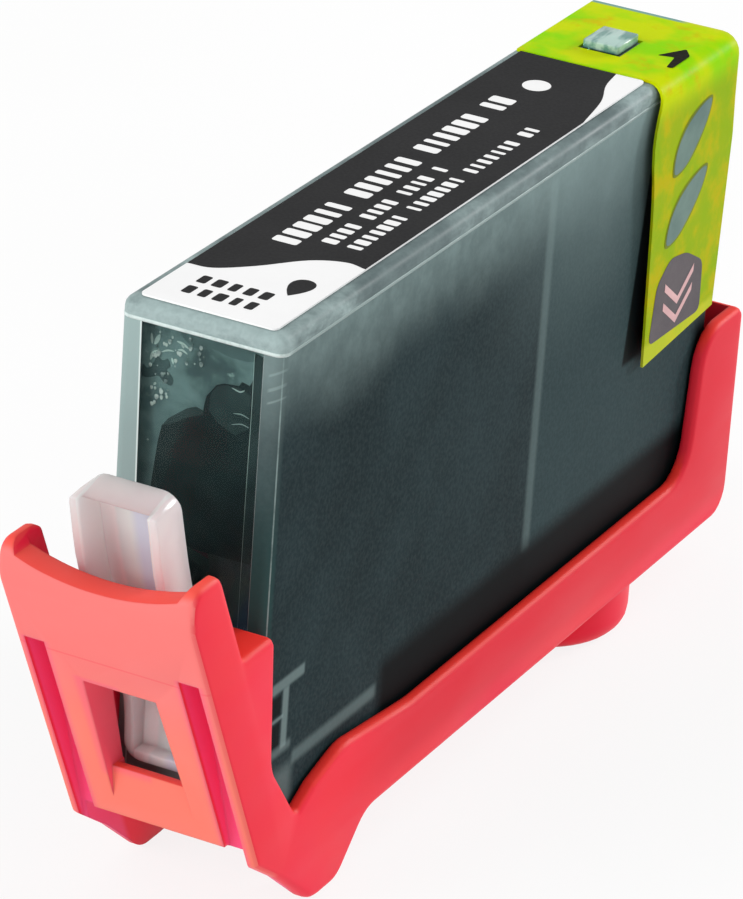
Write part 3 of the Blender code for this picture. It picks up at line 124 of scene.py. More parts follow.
class Graph(Nodes):
    """A material's or a world's nodes. Places come in metres, and limits in millimetres."""

    def __init__(self, block: bpy.types.Material | bpy.types.World) -> None:
        """Start the nodes of a material or a world."""
        block.use_nodes = True
        super().__init__(block.node_tree)
        self.block = block
        self.shader = self.tree.nodes.get("Principled BSDF")
        self.place = self.add("ShaderNodeTexCoord").outputs["Object"]
        self.split = self.add("ShaderNodeSeparateXYZ", {0: self.place})

    def axis(self, name: str) -> Socket:
        """Return one Object coordinate, X, Y or Z, in metres."""
        return self.split.outputs[name]

    def drop(self) -> Socket:
        """Return the depth below the tank's top, in metres."""
        return self.maths("SUBTRACT", TANK_TOP * MM, self.axis("Z"))

    def maths(self, operation: str, first: object, second: object = 0.0) -> Socket:
        """Return the result of a Math node on two sockets or numbers."""
        return self.add("ShaderNodeMath", {0: first, 1: second}, operation=operation).outputs[0]

    def size(self, value: object) -> Socket:
        """Return a value without its sign."""
        return self.maths("ABSOLUTE", value)

    def rest(self, share: object) -> Socket:
        """Return what is left of 1 beside a share."""
        return self.maths("SUBTRACT", 1.0, share)

    def times(self, *factors: object) -> Socket:
        """Return the product of sockets and numbers."""
        product = factors[0]
        for factor in factors[1:]:
            product = self.maths("MULTIPLY", product, factor)
        return product

    def ramp(self, value: object, low: float, high: float, start: float = 0.0,
             end: float = 1.0) -> Socket:
        """Return a value mapped smoothly from low..high to start..end.

        Args:
            value: Socket to map.
            low: Value that gives start.
            high: Value that gives end.
            start: Result at low.
            end: Result at high.

        Returns:
            The mapped socket.
        """
        limits = {"Value": value, "From Min": low, "From Max": high, "To Min": start, "To Max": end}
        node = self.add("ShaderNodeMapRange", limits, interpolation_type="SMOOTHSTEP")
        return node.outputs["Result"]

    def slope(self, value: object, low: float, high: float, start: float = 0.0,
              end: float = 1.0) -> Socket:
        """Return a ramp whose low and high are places in millimetres."""
        return self.ramp(value, low * MM, high * MM, start, end)

    def edge(self, value: object, place: float, soft: float) -> Socket:
        """Return a soft step at a place: upwards where soft is above 0, downwards below 0."""
        ends = (0.0, 1.0) if soft > 0 else (1.0, 0.0)
        return self.slope(value, place - abs(soft), place + abs(soft), *ends)

    def band(self, value: object, low: float, high: float, soft: float) -> Socket:
        """Return 1 between two places and 0 outside them, with soft ends."""
        return self.times(self.edge(value, low, soft), self.edge(value, high, -soft))

    def noise(self, scale: float, detail: float, roughness: float,
              stretch: tuple[float, float, float] = (1.0, 1.0, 1.0)) -> Socket:
        """Return a noise value.

        Args:
            scale: Waves in a metre.
            detail: Octaves.
            roughness: Share of the fine octaves.
            stretch: Factor on each coordinate.

        Returns:
            The noise socket, about 0.5 on average.
        """
        mapping = self.add("ShaderNodeMapping", {"Vector": self.place, "Scale": stretch})
        return self.add("ShaderNodeTexNoise", {"Vector": mapping.outputs[0], "Scale": scale,
                                               "Detail": detail, "Roughness": roughness}).outputs[0]

    def cells(self, scale: float) -> Socket:
        """Return the distance to the nearest of scattered cell centres."""
        sources = {"Vector": self.place, "Scale": scale}
        return self.add("ShaderNodeTexVoronoi", sources, feature="F1").outputs["Distance"]

    def mix(self, under: object, coat: object, *shares: object) -> Socket:
        """Return a colour with another laid over it.

        Args:
            under: The lower colour.
            coat: The colour over it.
            *shares: Masks and numbers whose product is the upper colour's share.

        Returns:
            The blend.
        """
        sources = {0: self.times(*shares), 6: under, 7: coat}
        return self.add("ShaderNodeMix", sources, data_type="RGBA").outputs[2]

    def bump(self, height: object, depth: float, strength: object = 1.0,
             under: Socket | None = None) -> Socket:
        """Return a normal bent by a height pattern.

        Args:
            height: Height socket of 0 to 1.
            depth: Height in millimetres that 1 stands for.
            strength: Share of the effect, as a number or a socket.
            under: Normal to bend, where another bump comes first.

        Returns:
            The normal socket.
        """
        sources = {"Strength": strength, "Distance": depth * MM, "Height": height}
        if under is not None:
            sources["Normal"] = under
        return self.add("ShaderNodeBump", sources).outputs[0]

    def soft_edges(self, radius: float) -> Socket:
        """Return a normal that rounds the corners of a moulding by a radius in millimetres."""
        return self.add("ShaderNodeBevel", {"Radius": radius * MM}, samples=4).outputs[0]

    def rays(self, *kinds: str) -> Socket:
        """Return 1 where a ray is of one of these kinds."""
        path, seen = self.add("ShaderNodeLightPath"), 0.0
        for kind in kinds:
            seen = self.maths("MAXIMUM", path.outputs[f"Is {kind} Ray"], seen)
        return seen

    def set(self, **values: object) -> None:
        """Set the Principled shader's inputs, with underscores for the spaces in a name."""
        for key, value in values.items():
            self.feed(self.shader.inputs[key.replace("_", " ")], value)


class Repeater(Nodes):
    """A Geometry Nodes tree that sets copies of a shape at points and gives them a finish."""

    def __init__(self, name: str, inputs: dict[str, tuple[str, object]]) -> None:
        """Start a tree with named inputs.

        Args:
            name: The tree's name.
            inputs: The kind and the value of each input. Seed and Finish are among them.
        """
        super().__init__(bpy.data.node_groups.new(name, "GeometryNodeTree"))
        self.inputs = inputs
        kinds = [("Geometry", "INPUT", "Geometry"),
                 *((label, "INPUT", kind) for label, (kind, _) in inputs.items()),
                 ("Geometry", "OUTPUT", "Geometry")]
        for label, way, kind in kinds:
            self.tree.interface.new_socket(label, in_out=way, socket_type=f"NodeSocket{kind}")
        self.start = self.add("NodeGroupInput")

    def feed(self, socket: Socket, value: object) -> None:
        """Link a socket to another or to the tree's input of that name, or set its number."""
        super().feed(socket, self.start.outputs[value] if isinstance(value, str) else value)

    def uneven(self, low: str, high: object) -> Socket:
        """Return a number that varies from copy to copy between two inputs or numbers."""
        sources = {2: low, 3: high, "Seed": "Seed"}
        return self.add("FunctionNodeRandomValue", sources, data_type="FLOAT").outputs[1]

    def close(self, points: Socket, sources: dict[str, object]) -> None:
        """Set the copies at the points, make them real, give them the finish and end the tree.

        Args:
            points: Where the copies go.
            sources: What feeds the other inputs of the node that places them.
        """
        copies = self.add("GeometryNodeInstanceOnPoints", {"Points": points, **sources})
        real = self.add("GeometryNodeRealizeInstances", {0: copies.outputs["Instances"]})
        dressed = self.add("GeometryNodeSetMaterial",
                           {"Geometry": real.outputs[0], "Material": "Finish"})
        self.add("NodeGroupOutput", {0: dressed.outputs[0]})

    def apply(self, piece: bpy.types.Object) -> None:
        """Run the tree on a piece, with its inputs set by identifier, and keep what it makes."""
        step = piece.modifiers.new("repeater", "NODES")
        step.node_group = self.tree
        for item in self.tree.interface.items_tree:
            if item.item_type == "SOCKET" and item.in_out == "INPUT" and item.name in self.inputs:
                step[item.identifier] = self.inputs[item.name][1]
        freeze(piece)


@dataclass(frozen=True)
class Finish:
    """A material, which each kind of finish paints in its own way."""

    name: str

    def paint(self, g: Graph) -> None:
        """Lay out the nodes of the material."""
        raise NotImplementedError

    def build(self) -> bpy.types.Material:
        """Return the painted material."""
        g = Graph(bpy.data.materials.new(self.name))
        self.paint(g)
        return g.block


@dataclass(frozen=True)
class TankPlastic(Finish):
    """Smoky see-through plastic: hazy where ink wets it, clear in the middle of the front.

    Bars and shades are millimetres along the tank and below its top.
    """

    name: str = "tank_plastic"
    haze: Colour = (34, 50, 54)
    deep: Colour = (22, 37, 41)
    foam_side: Colour = (47, 67, 70)
    pale: Colour = (142, 164, 163)
    strip: Colour = (158, 180, 178)
    cool: Colour = (56, 92, 90)
    shade: Colour = (5, 10, 12)
    clear: Colour = (226, 238, 235)
    glint: Colour = (226, 240, 236)
    window: Point = (-4.94, 5.1)
    window_foot: float = 15.6
    lean: float = 0.017
    cavity_half: float = 5.62
    foam_room: Point = (43.0, 45.0)
    rear_fog: Point = (30.0, 52.0)
    wall_half: float = 6.2
    pale_bars: tuple[tuple[Point, Point, float, float], ...] = (
        ((43.4, 2.0), (44.7, 34.0), 0.4, 0.24), ((5.2, 35.2), (18.6, 36.3), 0.35, 0.34),
        ((1.4, 28.3), (6.4, 29.2), 0.2, 0.5), ((3.2, 29.2), (4.1, 34.2), 0.2, 0.55),
        ((0.6, 31.3), (3.4, 31.6), 0.12, 0.5), ((0.8, 33.9), (4.8, 34.6), 0.3, 0.35),
        ((0.8, 36.0), (5.2, 41.0), 0.8, 0.34))
    dark_bars: tuple[tuple[Point, Point], ...] = (
        ((1.0, 29.5), (2.9, 31.1)), ((1.0, 31.8), (2.9, 33.7)))
    low_shades: tuple[tuple[Point, Point], ...] = (
        ((19.0, 33.6), (78.5, 42.0)), ((74.6, 25.0), (78.5, 42.0)))
    tape_shade: tuple[Point, Point] = ((56.0, 4.5), (64.4, 23.8))
    tape_shade_edge: float = 63.5
    tape_spread: float = 0.14
    smears: tuple[Point, ...] = ((2.95, 0.1), (4.1, 0.13), (5.1, 0.08))

    def bar(self, g: Graph, low: Point, high: Point, soft: float) -> Socket:
        """Mask a soft-edged bar on the side.

        Args:
            g: The graph to add to.
            low: Start along the tank, and upper edge below the top.
            high: End along the tank, and lower edge below the top.
            soft: Width of the soft edge.

        Returns:
            The mask, 1 inside.
        """
        return g.times(g.band(g.axis("Y"), TANK_FRONT + low[0], TANK_FRONT + high[0], soft),
                       g.band(g.axis("Z"), TANK_TOP - high[1], TANK_TOP - low[1], soft))

    def side(self, g: Graph, level: Socket, mottle: Socket, cloud: Socket, grain: Socket) -> Socket:
        """Return the walls' colour: dark, fogged near the lid, with the moulded marks and painted shade.

        Args:
            g: The graph to add to.
            level: Depth below the lid, unevenly drifting.
            mottle: Middle-sized noise.
            cloud: Large noise.
            grain: Fine noise.

        Returns:
            The colour.
        """
        x, y = g.axis("X"), g.axis("Y")
        behind, rear = (g.slope(y, TANK_FRONT + low, TANK_FRONT + high)
                        for low, high in (self.foam_room, self.rear_fog))
        tone = g.mix(self.deep, self.haze, g.ramp(cloud, 0.35, 0.7))
        tone = g.mix(tone, self.foam_side, behind, 0.7)
        tone = g.mix(tone, self.pale, g.ramp(grain, 0.3, 0.75, 0.01, 0.06))
        tone = g.mix(tone, self.pale, g.slope(level, 0.5, 10.0, 0.7, 0.0),
                     g.ramp(mottle, 0.3, 0.75, 0.72, 1.0))
        tone = g.mix(tone, self.pale, rear, g.slope(level, 0.5, 20.0, 0.36, 0.0))
        for low, high, soft, share in self.pale_bars:
            tone = g.mix(tone, self.pale, self.bar(g, low, high, soft), share)
        for low, high in self.dark_bars:
            tone = g.mix(tone, self.shade, self.bar(g, low, high, 0.15), 0.8)
        # Painted shade: dark bands along the clip's rail and beside its rear tower.
        aside = g.edge(g.size(x), self.wall_half, 0.2)
        for low, high in self.low_shades:
            tone = g.mix(tone, self.shade, self.bar(g, low, high, 1.2), aside, 0.95)
        # Painted shadow that the hanging tape casts on the side, wider further down.
        spread = g.maths("ADD", y, g.times(g.drop(), self.tape_spread))
        reach = g.edge(spread, TANK_FRONT + self.tape_shade_edge, 0.2)
        return g.mix(tone, self.shade, self.bar(g, *self.tape_shade, 0.3), reach,
                     g.edge(x, 6.0, 0.5), 0.95)

    def paint(self, g: Graph) -> None:
        """Lay out the walls, the front's strips and smears, and its clear middle."""
        x, y, depth = g.axis("X"), g.axis("Y"), g.drop()
        mottle = g.noise(520.0, 4.0, 0.6)
        cloud = g.noise(85.0, 3.0, 0.5)
        grain = g.noise(3000.0, 2.0, 0.6)
        left_side, right_side = self.window
        drift = g.times(g.maths("SUBTRACT", cloud, 0.5), 7.0 * MM)
        level = g.maths("ADD", depth, drift)
        tone = self.side(g, level, mottle, cloud, grain)
        face = g.edge(y, TANK_FRONT + 0.6, -0.3)
        leant = g.maths("SUBTRACT", x, g.times(depth, self.lean))
        left = g.times(face, g.edge(leant, left_side, -0.03))
        tone = g.mix(tone, self.strip, left, g.ramp(cloud, 0.2, 0.8, 0.85, 1.0))
        tone = g.mix(tone, self.glint, left, g.edge(leant, left_side - 0.13, 0.03), 0.85)
        right = g.times(face, g.edge(x, right_side, 0.05))
        tone = g.mix(tone, self.pale, right, g.slope(level, 2.0, 20.0, 0.3, 0.08))
        tone = g.mix(tone, self.cool, right, g.slope(level, 8.0, 22.0, 0.0, 0.75))
        slant = g.maths("ADD", depth, g.times(g.maths("SUBTRACT", x, 6.0 * MM), 0.5))
        for level_at, half in self.smears:
            smear = g.band(slant, level_at - half, level_at + half, 0.06)
            tone = g.mix(tone, self.strip, smear, right, g.edge(x, 5.6, 0.15), 0.4)
        # Painted highlight: a thin pale line along the rounded front corner.
        corner = g.maths("ADD", x, g.maths("SUBTRACT", y, TANK_FRONT * MM))
        tone = g.mix(tone, self.strip, g.band(corner, 6.8, 6.95, 0.04), g.edge(x, 6.0, 0.2),
                     g.ramp(mottle, 0.35, 0.6, 0.25, 0.7))
        middle = g.times(g.edge(leant, left_side, 0.03), g.edge(x, right_side, -0.05))
        inside = g.times(g.edge(y, TANK_FRONT + 0.7, 0.1), g.edge(g.size(x), self.cavity_half, -0.03))
        # Painted light: below the window's foot, the front under the lever's shaded pocket is painted
        # near white.
        foot = g.edge(g.axis("Z"), self.window_foot, -0.8)
        tone = g.mix(tone, self.strip, foot, middle, 0.9)
        middle = g.maths("MAXIMUM", g.times(middle, g.rest(foot)), inside)
        middle = g.times(middle, g.edge(y, TANK_FRONT + 1.35, -0.08))
        rough = g.rest(middle)
        g.set(Base_Color=g.mix(tone, self.clear, middle), IOR=1.14, Specular_IOR_Level=0.2,
              Roughness=g.ramp(middle, 0.0, 1.0, 0.45, 0.0),
              Transmission_Weight=g.ramp(middle, 0.0, 1.0, 0.0, 1.0),
              Normal=g.bump(mottle, 0.03, g.times(rough, 0.05),
                            g.bump(grain, 0.005, g.times(rough, 0.06))))


@dataclass(frozen=True)
class LidPlastic(Finish):
    """Frosted lid plastic with the damp mottling of the air space under it."""

    name: str = "lid_plastic"
    dark: Colour = (76, 92, 94)
    pale: Colour = (168, 188, 187)

    def paint(self, g: Graph) -> None:
        """Lay out the mottling, paler at the front."""
        patches = g.noise(300.0, 5.0, 0.62, (1.0, 0.7, 1.6))
        grain = g.noise(2400.0, 2.0, 0.5)
        damp = g.noise(70.0, 3.0, 0.5)
        tone = g.mix(self.dark, self.pale, g.ramp(patches, 0.3, 0.7, 0.25, 0.95))
        tone = g.mix(tone, self.dark, g.ramp(damp, 0.42, 0.62, 0.0, 0.65))
        tone = g.mix(tone, self.pale, g.edge(g.axis("Y"), TANK_FRONT + 1.4, -0.9),
                     g.ramp(patches, 0.3, 0.5, 0.5, 0.95))
        tone = g.mix(tone, self.dark, g.ramp(grain, 0.3, 0.7, 0.0, 0.14))
        g.set(Base_Color=tone, Roughness=g.ramp(patches, 0.3, 0.7, 0.4, 0.52), IOR=1.46,
              Specular_IOR_Level=0.12, Normal=g.bump(patches, 0.05, 0.3, g.bump(grain, 0.008, 0.3)))


@dataclass(frozen=True)
class MouldedRed(Finish):
    """Orange-red polypropylene, satin, with painted sheen on the handle's front and painted pink bounce
    light in its slots.
    """

    name: str = "clip_plastic"
    body: Colour = (250, 34, 70)
    warm: Colour = (252, 54, 64)
    rail: Colour = (231, 40, 58)
    # Painted sheen of the handle's front.
    front_sheen: Colour = (255, 128, 124)
    orange: Colour = (255, 130, 106)
    # Painted highlight on faces turned up, on the handle and off it.
    upper: Colour = (255, 92, 76)
    edge: Colour = (255, 58, 42)
    # Painted bounce light in the shaded slots and window walls.
    slot_bounce_pink: Colour = (255, 82, 134)
    recess_bounce_pink: Colour = (255, 96, 116)
    step_at: float = 25.1
    lean_foot: float = -32.3
    lean: float = 0.5
    foremost: float = -48.05
    slot_span: Point = (5.5, 7.24)

    def front_depth(self, g: Graph) -> Socket:
        """Return how far a place lies behind the handle's leaning front, in metres."""
        leaning = g.maths("SUBTRACT", self.lean_foot * MM, g.times(g.axis("Z"), self.lean))
        return g.maths("SUBTRACT", g.axis("Y"), g.maths("MAXIMUM", leaning, self.foremost * MM))

    def handle(self, g: Graph, tone: Socket, cloud: Socket) -> Socket:
        """Return the colour with painted light: the handle's front sheen, its slots' pink bounce and its
        top edge's highlight.

        Args:
            g: The graph to add to.
            tone: The plain colour.
            cloud: Large noise.

        Returns:
            The colour.
        """
        x, z, depth = g.axis("X"), g.axis("Z"), self.front_depth(g)
        far, left = g.size(x), g.times(x, -1.0)
        facing = g.add("ShaderNodeNewGeometry").outputs["Normal"]
        normal = g.add("ShaderNodeSeparateXYZ", {0: facing}).outputs
        on_handle = g.edge(depth, 4.6, -0.4)
        # Painted sheen: faces turned to the front are painted paler.
        front = g.times(g.ramp(normal["Y"], -0.25, -0.85), g.edge(depth, 2.4, -0.3))
        tone = g.mix(tone, self.front_sheen, front, g.ramp(cloud, 0.3, 0.7, 0.92, 1.0))
        step = g.maths("SUBTRACT", z, self.step_at * MM)
        tone = g.mix(tone, self.orange, front, g.slope(step, 0.0, -9.0, 0.0, 0.7))
        tone = g.mix(tone, self.body, g.band(step, -0.08, 0.08, 0.04), front, 0.3)
        # Painted highlight: faces turned up are painted a lighter orange, on the handle and off it.
        upward = g.ramp(normal["Z"], 0.35, 0.8)
        tone = g.mix(tone, self.upper, upward, on_handle, 0.8)
        tone = g.mix(tone, self.edge, upward, g.rest(on_handle), 0.8)
        # Painted bounce light: the shaded walls of the window and slots are painted brighter pink, and
        # the front is painted pinker at their edges.
        low = g.edge(z, 25.8, -0.15)
        sideways = g.ramp(g.size(normal["X"]), 0.4, 0.8)
        tone = g.mix(tone, self.recess_bounce_pink, sideways, low, g.edge(far, 3.7, -0.1), on_handle, 0.9)
        tone = g.mix(tone, self.slot_bounce_pink, g.slope(far, 4.95, 5.6), g.slope(far, 7.75, 7.2), front, low, 0.5)
        tone = g.mix(tone, self.slot_bounce_pink, g.slope(left, 4.1, 3.4), g.edge(left, 0.0, 0.2),
                     g.edge(z, 12.8, 0.4), front, g.edge(z, 23.0, -0.2), 0.35)
        return g.mix(tone, self.slot_bounce_pink, g.band(far, *self.slot_span, 0.03), low,
                     g.edge(depth, 0.3, 0.2), on_handle)

    def paint(self, g: Graph) -> None:
        """Lay out the body's colour, the darker rails and the handle."""
        cloud = g.noise(55.0, 3.0, 0.5)
        grain = g.noise(3200.0, 2.0, 0.5)
        flow = g.noise(240.0, 3.0, 0.55, (1.0, 0.35, 1.0))
        tone = g.mix(self.body, self.warm, g.ramp(cloud, 0.35, 0.7, 0.0, 0.7))
        tone = g.mix(tone, self.rail, g.slope(g.axis("Y"), -24.0, -10.0, 0.0, 0.9),
                     g.slope(g.axis("Z"), 4.5, 7.0))
        g.set(Base_Color=self.handle(g, tone, cloud), Roughness=g.ramp(flow, 0.3, 0.7, 0.42, 0.5),
              IOR=1.46, Specular_IOR_Level=0.18,
              Normal=g.bump(flow, 0.02, 0.15, g.bump(grain, 0.006, 0.3, g.soft_edges(0.35))))


@dataclass(frozen=True)
class RosyClear(Finish):
    """Clear plastic with a faint rosy frost, milky in its thick rim and clear in its thin web."""

    name: str = "lever_plastic"
    rim: Colour = (252, 236, 233)
    shade: Colour = (244, 222, 224)
    web: Colour = (250, 255, 250)
    grey: Colour = (226, 246, 242)
    lilac: Colour = (206, 222, 244)
    web_half: float = 2.72
    web_top: float = 37.9

    def paint(self, g: Graph) -> None:
        """Lay out the rim, a painted highlight along its inner edge round the web, and the web."""
        cloud = g.noise(160.0, 3.0, 0.5)
        grain = g.noise(2600.0, 2.0, 0.5)
        x = g.axis("X")
        far = g.size(x)
        thin = g.times(g.edge(far, self.web_half, -0.12), g.edge(g.axis("Z"), self.web_top, -0.2))
        web = g.mix(self.web, self.grey, g.edge(x, -1.5, 0.2))
        web = g.mix(web, self.lilac, g.slope(x, -0.5, 0.4))
        rim = g.mix(self.rim, self.shade, g.ramp(cloud, 0.3, 0.7))
        # Painted highlight: a pale line along the rim's inner edge.
        rim = g.mix(rim, self.web, g.edge(far, self.web_half, 0.04),
                    g.edge(far, self.web_half + 0.3, -0.08), 0.6)
        g.set(Base_Color=g.mix(rim, web, thin), Roughness=g.ramp(thin, 0.0, 1.0, 0.24, 0.12),
              IOR=1.42, Transmission_Weight=g.ramp(thin, 0.0, 1.0, 0.2, 0.0),
              Subsurface_Weight=0.9, Subsurface_Radius=(1.0, 1.0, 1.0), Subsurface_Scale=2.4 * MM,
              Normal=g.bump(cloud, 0.03, 0.1, g.bump(grain, 0.004, 0.2, g.soft_edges(0.22))))


@dataclass(frozen=True)
class PrintFilm(Finish):
    """Satin printed film: paper white or a printing ink, with a faint dot and fibre texture."""

    tone: Colour
    shade: Colour
    roughness: float = 0.55

    def paint(self, g: Graph) -> None:
        """Lay out the even print."""
        cloud = g.noise(130.0, 4.0, 0.6)
        grain = g.noise(3600.0, 2.0, 0.6)
        g.set(Base_Color=g.mix(self.tone, self.shade, g.ramp(cloud, 0.35, 0.7)), IOR=1.45,
              Specular_IOR_Level=0.05,
              Roughness=g.ramp(grain, 0.3, 0.7, self.roughness - 0.05, self.roughness + 0.05),
              Normal=g.bump(cloud, 0.03, 0.15, g.bump(grain, 0.004, 0.25)))


@dataclass(frozen=True)
class TapeFilm(Finish):
    """Translucent yellow tape: greener over the lid, darker down the side in painted shade, pale at its
    cut edge.
    """

    name: str = "tape_film"
    body: Colour = (204, 222, 0)
    green: Colour = (146, 220, 0)
    amber: Colour = (214, 182, 0)
    # Painted shade of the hanging side.
    side: Colour = (146, 172, 18)
    rim: Colour = (206, 212, 60)
    bare: Colour = (122, 166, 158)
    end: float = 42.75
    foot: float = 25.6

    def paint(self, g: Graph) -> None:
        """Lay out the stains, the hanging part's painted shade, the cut edge and the bare margin."""
        y, hang = g.axis("Y"), g.drop()
        blotch = g.noise(190.0, 3.0, 0.5, (1.0, 1.0, 0.7))
        stain = g.noise(360.0, 4.0, 0.6)
        grain = g.noise(3000.0, 2.0, 0.5)
        tone = g.mix(self.body, self.green, g.ramp(blotch, 0.4, 0.64))
        tone = g.mix(tone, self.amber, g.ramp(stain, 0.52, 0.72, 0.0, 0.7))
        # Painted shade: the hanging part is painted darker and more olive than the top, with amber
        # stains.
        lower = g.mix(self.side, self.amber, g.ramp(stain, 0.4, 0.68, 0.0, 0.55))
        tone = g.mix(tone, lower, g.slope(hang, 0.5, 3.5, 0.0, 0.85))
        near = g.maths("MINIMUM", g.maths("SUBTRACT", self.end * MM, y),
                       g.maths("SUBTRACT", g.axis("Z"), self.foot * MM))
        tone = g.mix(tone, self.rim, g.slope(near, 0.0, 0.7, 0.6, 0.0))
        tone = g.mix(tone, self.bare, g.edge(y, self.end - 0.45, 0.06),
                     g.edge(g.axis("X"), 2.4, -0.6), g.edge(hang, 0.3, -0.1))
        g.set(Base_Color=tone, Roughness=g.ramp(grain, 0.3, 0.7, 0.36, 0.46), IOR=1.45,
              Specular_IOR_Level=0.02, Normal=g.bump(blotch, 0.08, 0.25, g.bump(grain, 0.005, 0.3)))


@dataclass(frozen=True)
class ClearCap(Finish):
    """Pale blue-green clear plastic of the vent cap, streaked along its moulded ribs."""

    name: str = "cap_plastic"

    def paint(self, g: Graph) -> None:
        """Lay out the streaks over the dark foot."""
        streak = g.noise(900.0, 3.0, 0.5, (1.0, 0.25, 1.0))
        tone = g.mix((112, 168, 158), (206, 238, 228), g.ramp(streak, 0.4, 0.6))
        tone = g.mix(tone, (26, 60, 48), g.edge(g.axis("Z"), 48.98, -0.1))
        g.set(Base_Color=tone, Roughness=g.ramp(streak, 0.3, 0.7, 0.06, 0.16), IOR=1.46,
              Transmission_Weight=0.25, Normal=g.bump(streak, 0.04, 0.5))


@dataclass(frozen=True)
class WetInk(Finish):
    """Black ink against the plastic: glossy, near black, with a thin greenish film on top."""

    name: str = "ink"

    def paint(self, g: Graph) -> None:
        """Lay out the film over the black."""
        film = g.noise(210.0, 4.0, 0.6)
        g.set(Base_Color=g.mix((9, 13, 14), (24, 32, 33), g.ramp(film, 0.4, 0.75)), IOR=1.34,
              Roughness=g.ramp(film, 0.3, 0.7, 0.12, 0.3), Normal=g.bump(film, 0.05, 0.4))


@dataclass(frozen=True)
class InkFilm(Finish):
    """Film of ink or damp on plastic, mottled between two tones."""

    tone: Colour
    shade: Colour
    damp: bool = False

    def paint(self, g: Graph) -> None:
        """Lay out the mottling, with splashes and glints near the lid where it is damp."""
        cloud = g.noise(260.0, 4.0, 0.6)
        drift = g.noise(760.0, 4.0, 0.6)
        tone = g.mix(self.tone, self.shade, g.ramp(cloud, 0.35, 0.7))
        if self.damp:
            z = g.axis("Z")
            high = g.slope(z, 38.5, 46.0)
            tone = g.mix(tone, self.shade, g.slope(z, 28.0, 42.0, 0.6, 0.0))
            tone = g.mix(tone, (58, 73, 75), g.ramp(cloud, 0.5, 0.68), high, 0.6)
            tone = g.mix(tone, (168, 188, 184), g.ramp(drift, 0.4, 0.32), high, 0.7)
        g.set(Base_Color=tone, Roughness=g.ramp(drift, 0.3, 0.7, 0.35, 0.6), IOR=1.4,
              Specular_IOR_Level=0.1, Normal=g.bump(drift, 0.03, 0.3))


@dataclass(frozen=True)
class SeamBead(Finish):
    """Pale bead of the lid's weld, bright along the front and dimmer along the sides."""

    name: str = "weld_bead"
    bright: Colour = (218, 234, 231)
    dim: Colour = (146, 166, 164)

    def paint(self, g: Graph) -> None:
        """Lay out the melted bead."""
        melt = g.noise(900.0, 3.0, 0.6)
        front = g.slope(g.axis("Y"), TANK_FRONT + 1.6, TANK_FRONT + 0.2)
        tone = g.mix(self.dim, self.bright, front)
        g.set(Base_Color=g.mix(tone, self.dim, g.ramp(melt, 0.45, 0.7, 0.0, 0.5)),
              Roughness=g.ramp(melt, 0.3, 0.7, 0.3, 0.5), IOR=1.46, Specular_IOR_Level=0.2,
              Normal=g.bump(melt, 0.03, 0.4))


@dataclass(frozen=True)
class Droplet(Finish):
    """Clear ink-tinted droplets on the inside of the front wall."""

    name: str = "ink_droplet"

    def paint(self, g: Graph) -> None:
        """Lay out the tint."""
        speck = g.noise(900.0, 2.0, 0.5)
        g.set(Base_Color=g.mix((120, 140, 140), (226, 238, 234), g.ramp(speck, 0.35, 0.6)), IOR=1.34,
              Roughness=g.ramp(speck, 0.3, 0.7, 0.05, 0.12), Transmission_Weight=0.3,
              Normal=g.bump(speck, 0.01, 0.3))


@dataclass(frozen=True)
class SoftPiece(Finish):
    """Plain finish of a sealed piece, such as foam, felt, rubber or a filter."""

    tone: Colour
    shade: Colour
    scale: float
    roughness: float
    depth: float
    metallic: float = 0.0
    coat: float = 0.0

    def paint(self, g: Graph) -> None:
        """Lay out the pores."""
        pores = g.cells(self.scale)
        cloud = g.noise(self.scale * 0.2, 3.0, 0.55)
        mottled = g.mix(self.tone, self.shade, g.ramp(cloud, 0.35, 0.7))
        g.set(Base_Color=g.mix(mottled, self.shade, g.ramp(pores, 0.0, 0.5, 0.35, 0.0)),
              Roughness=g.ramp(pores, 0.0, 0.7, self.roughness + 0.05, self.roughness - 0.05),
              Metallic=self.metallic, Coat_Weight=self.coat, Normal=g.bump(pores, self.depth, 0.6))


@dataclass(frozen=True)
class WovenWire(Finish):
    """Fine woven wire of the outlet's filter."""

    name: str = "filter_mesh"
    pitch: float = 0.25

    def paint(self, g: Graph) -> None:
        """Lay out the warp and the weft."""
        turn = math.tau / (self.pitch * MM)
        warp, weft = (g.size(g.maths("SINE", g.times(g.axis(name), turn))) for name in "XY")
        wires = g.maths("MAXIMUM", warp, weft)
        g.set(Base_Color=g.mix((60, 62, 64), (178, 180, 182), wires), Metallic=0.9,
              Roughness=g.ramp(wires, 0.0, 1.0, 0.5, 0.28), Normal=g.bump(wires, 0.06))


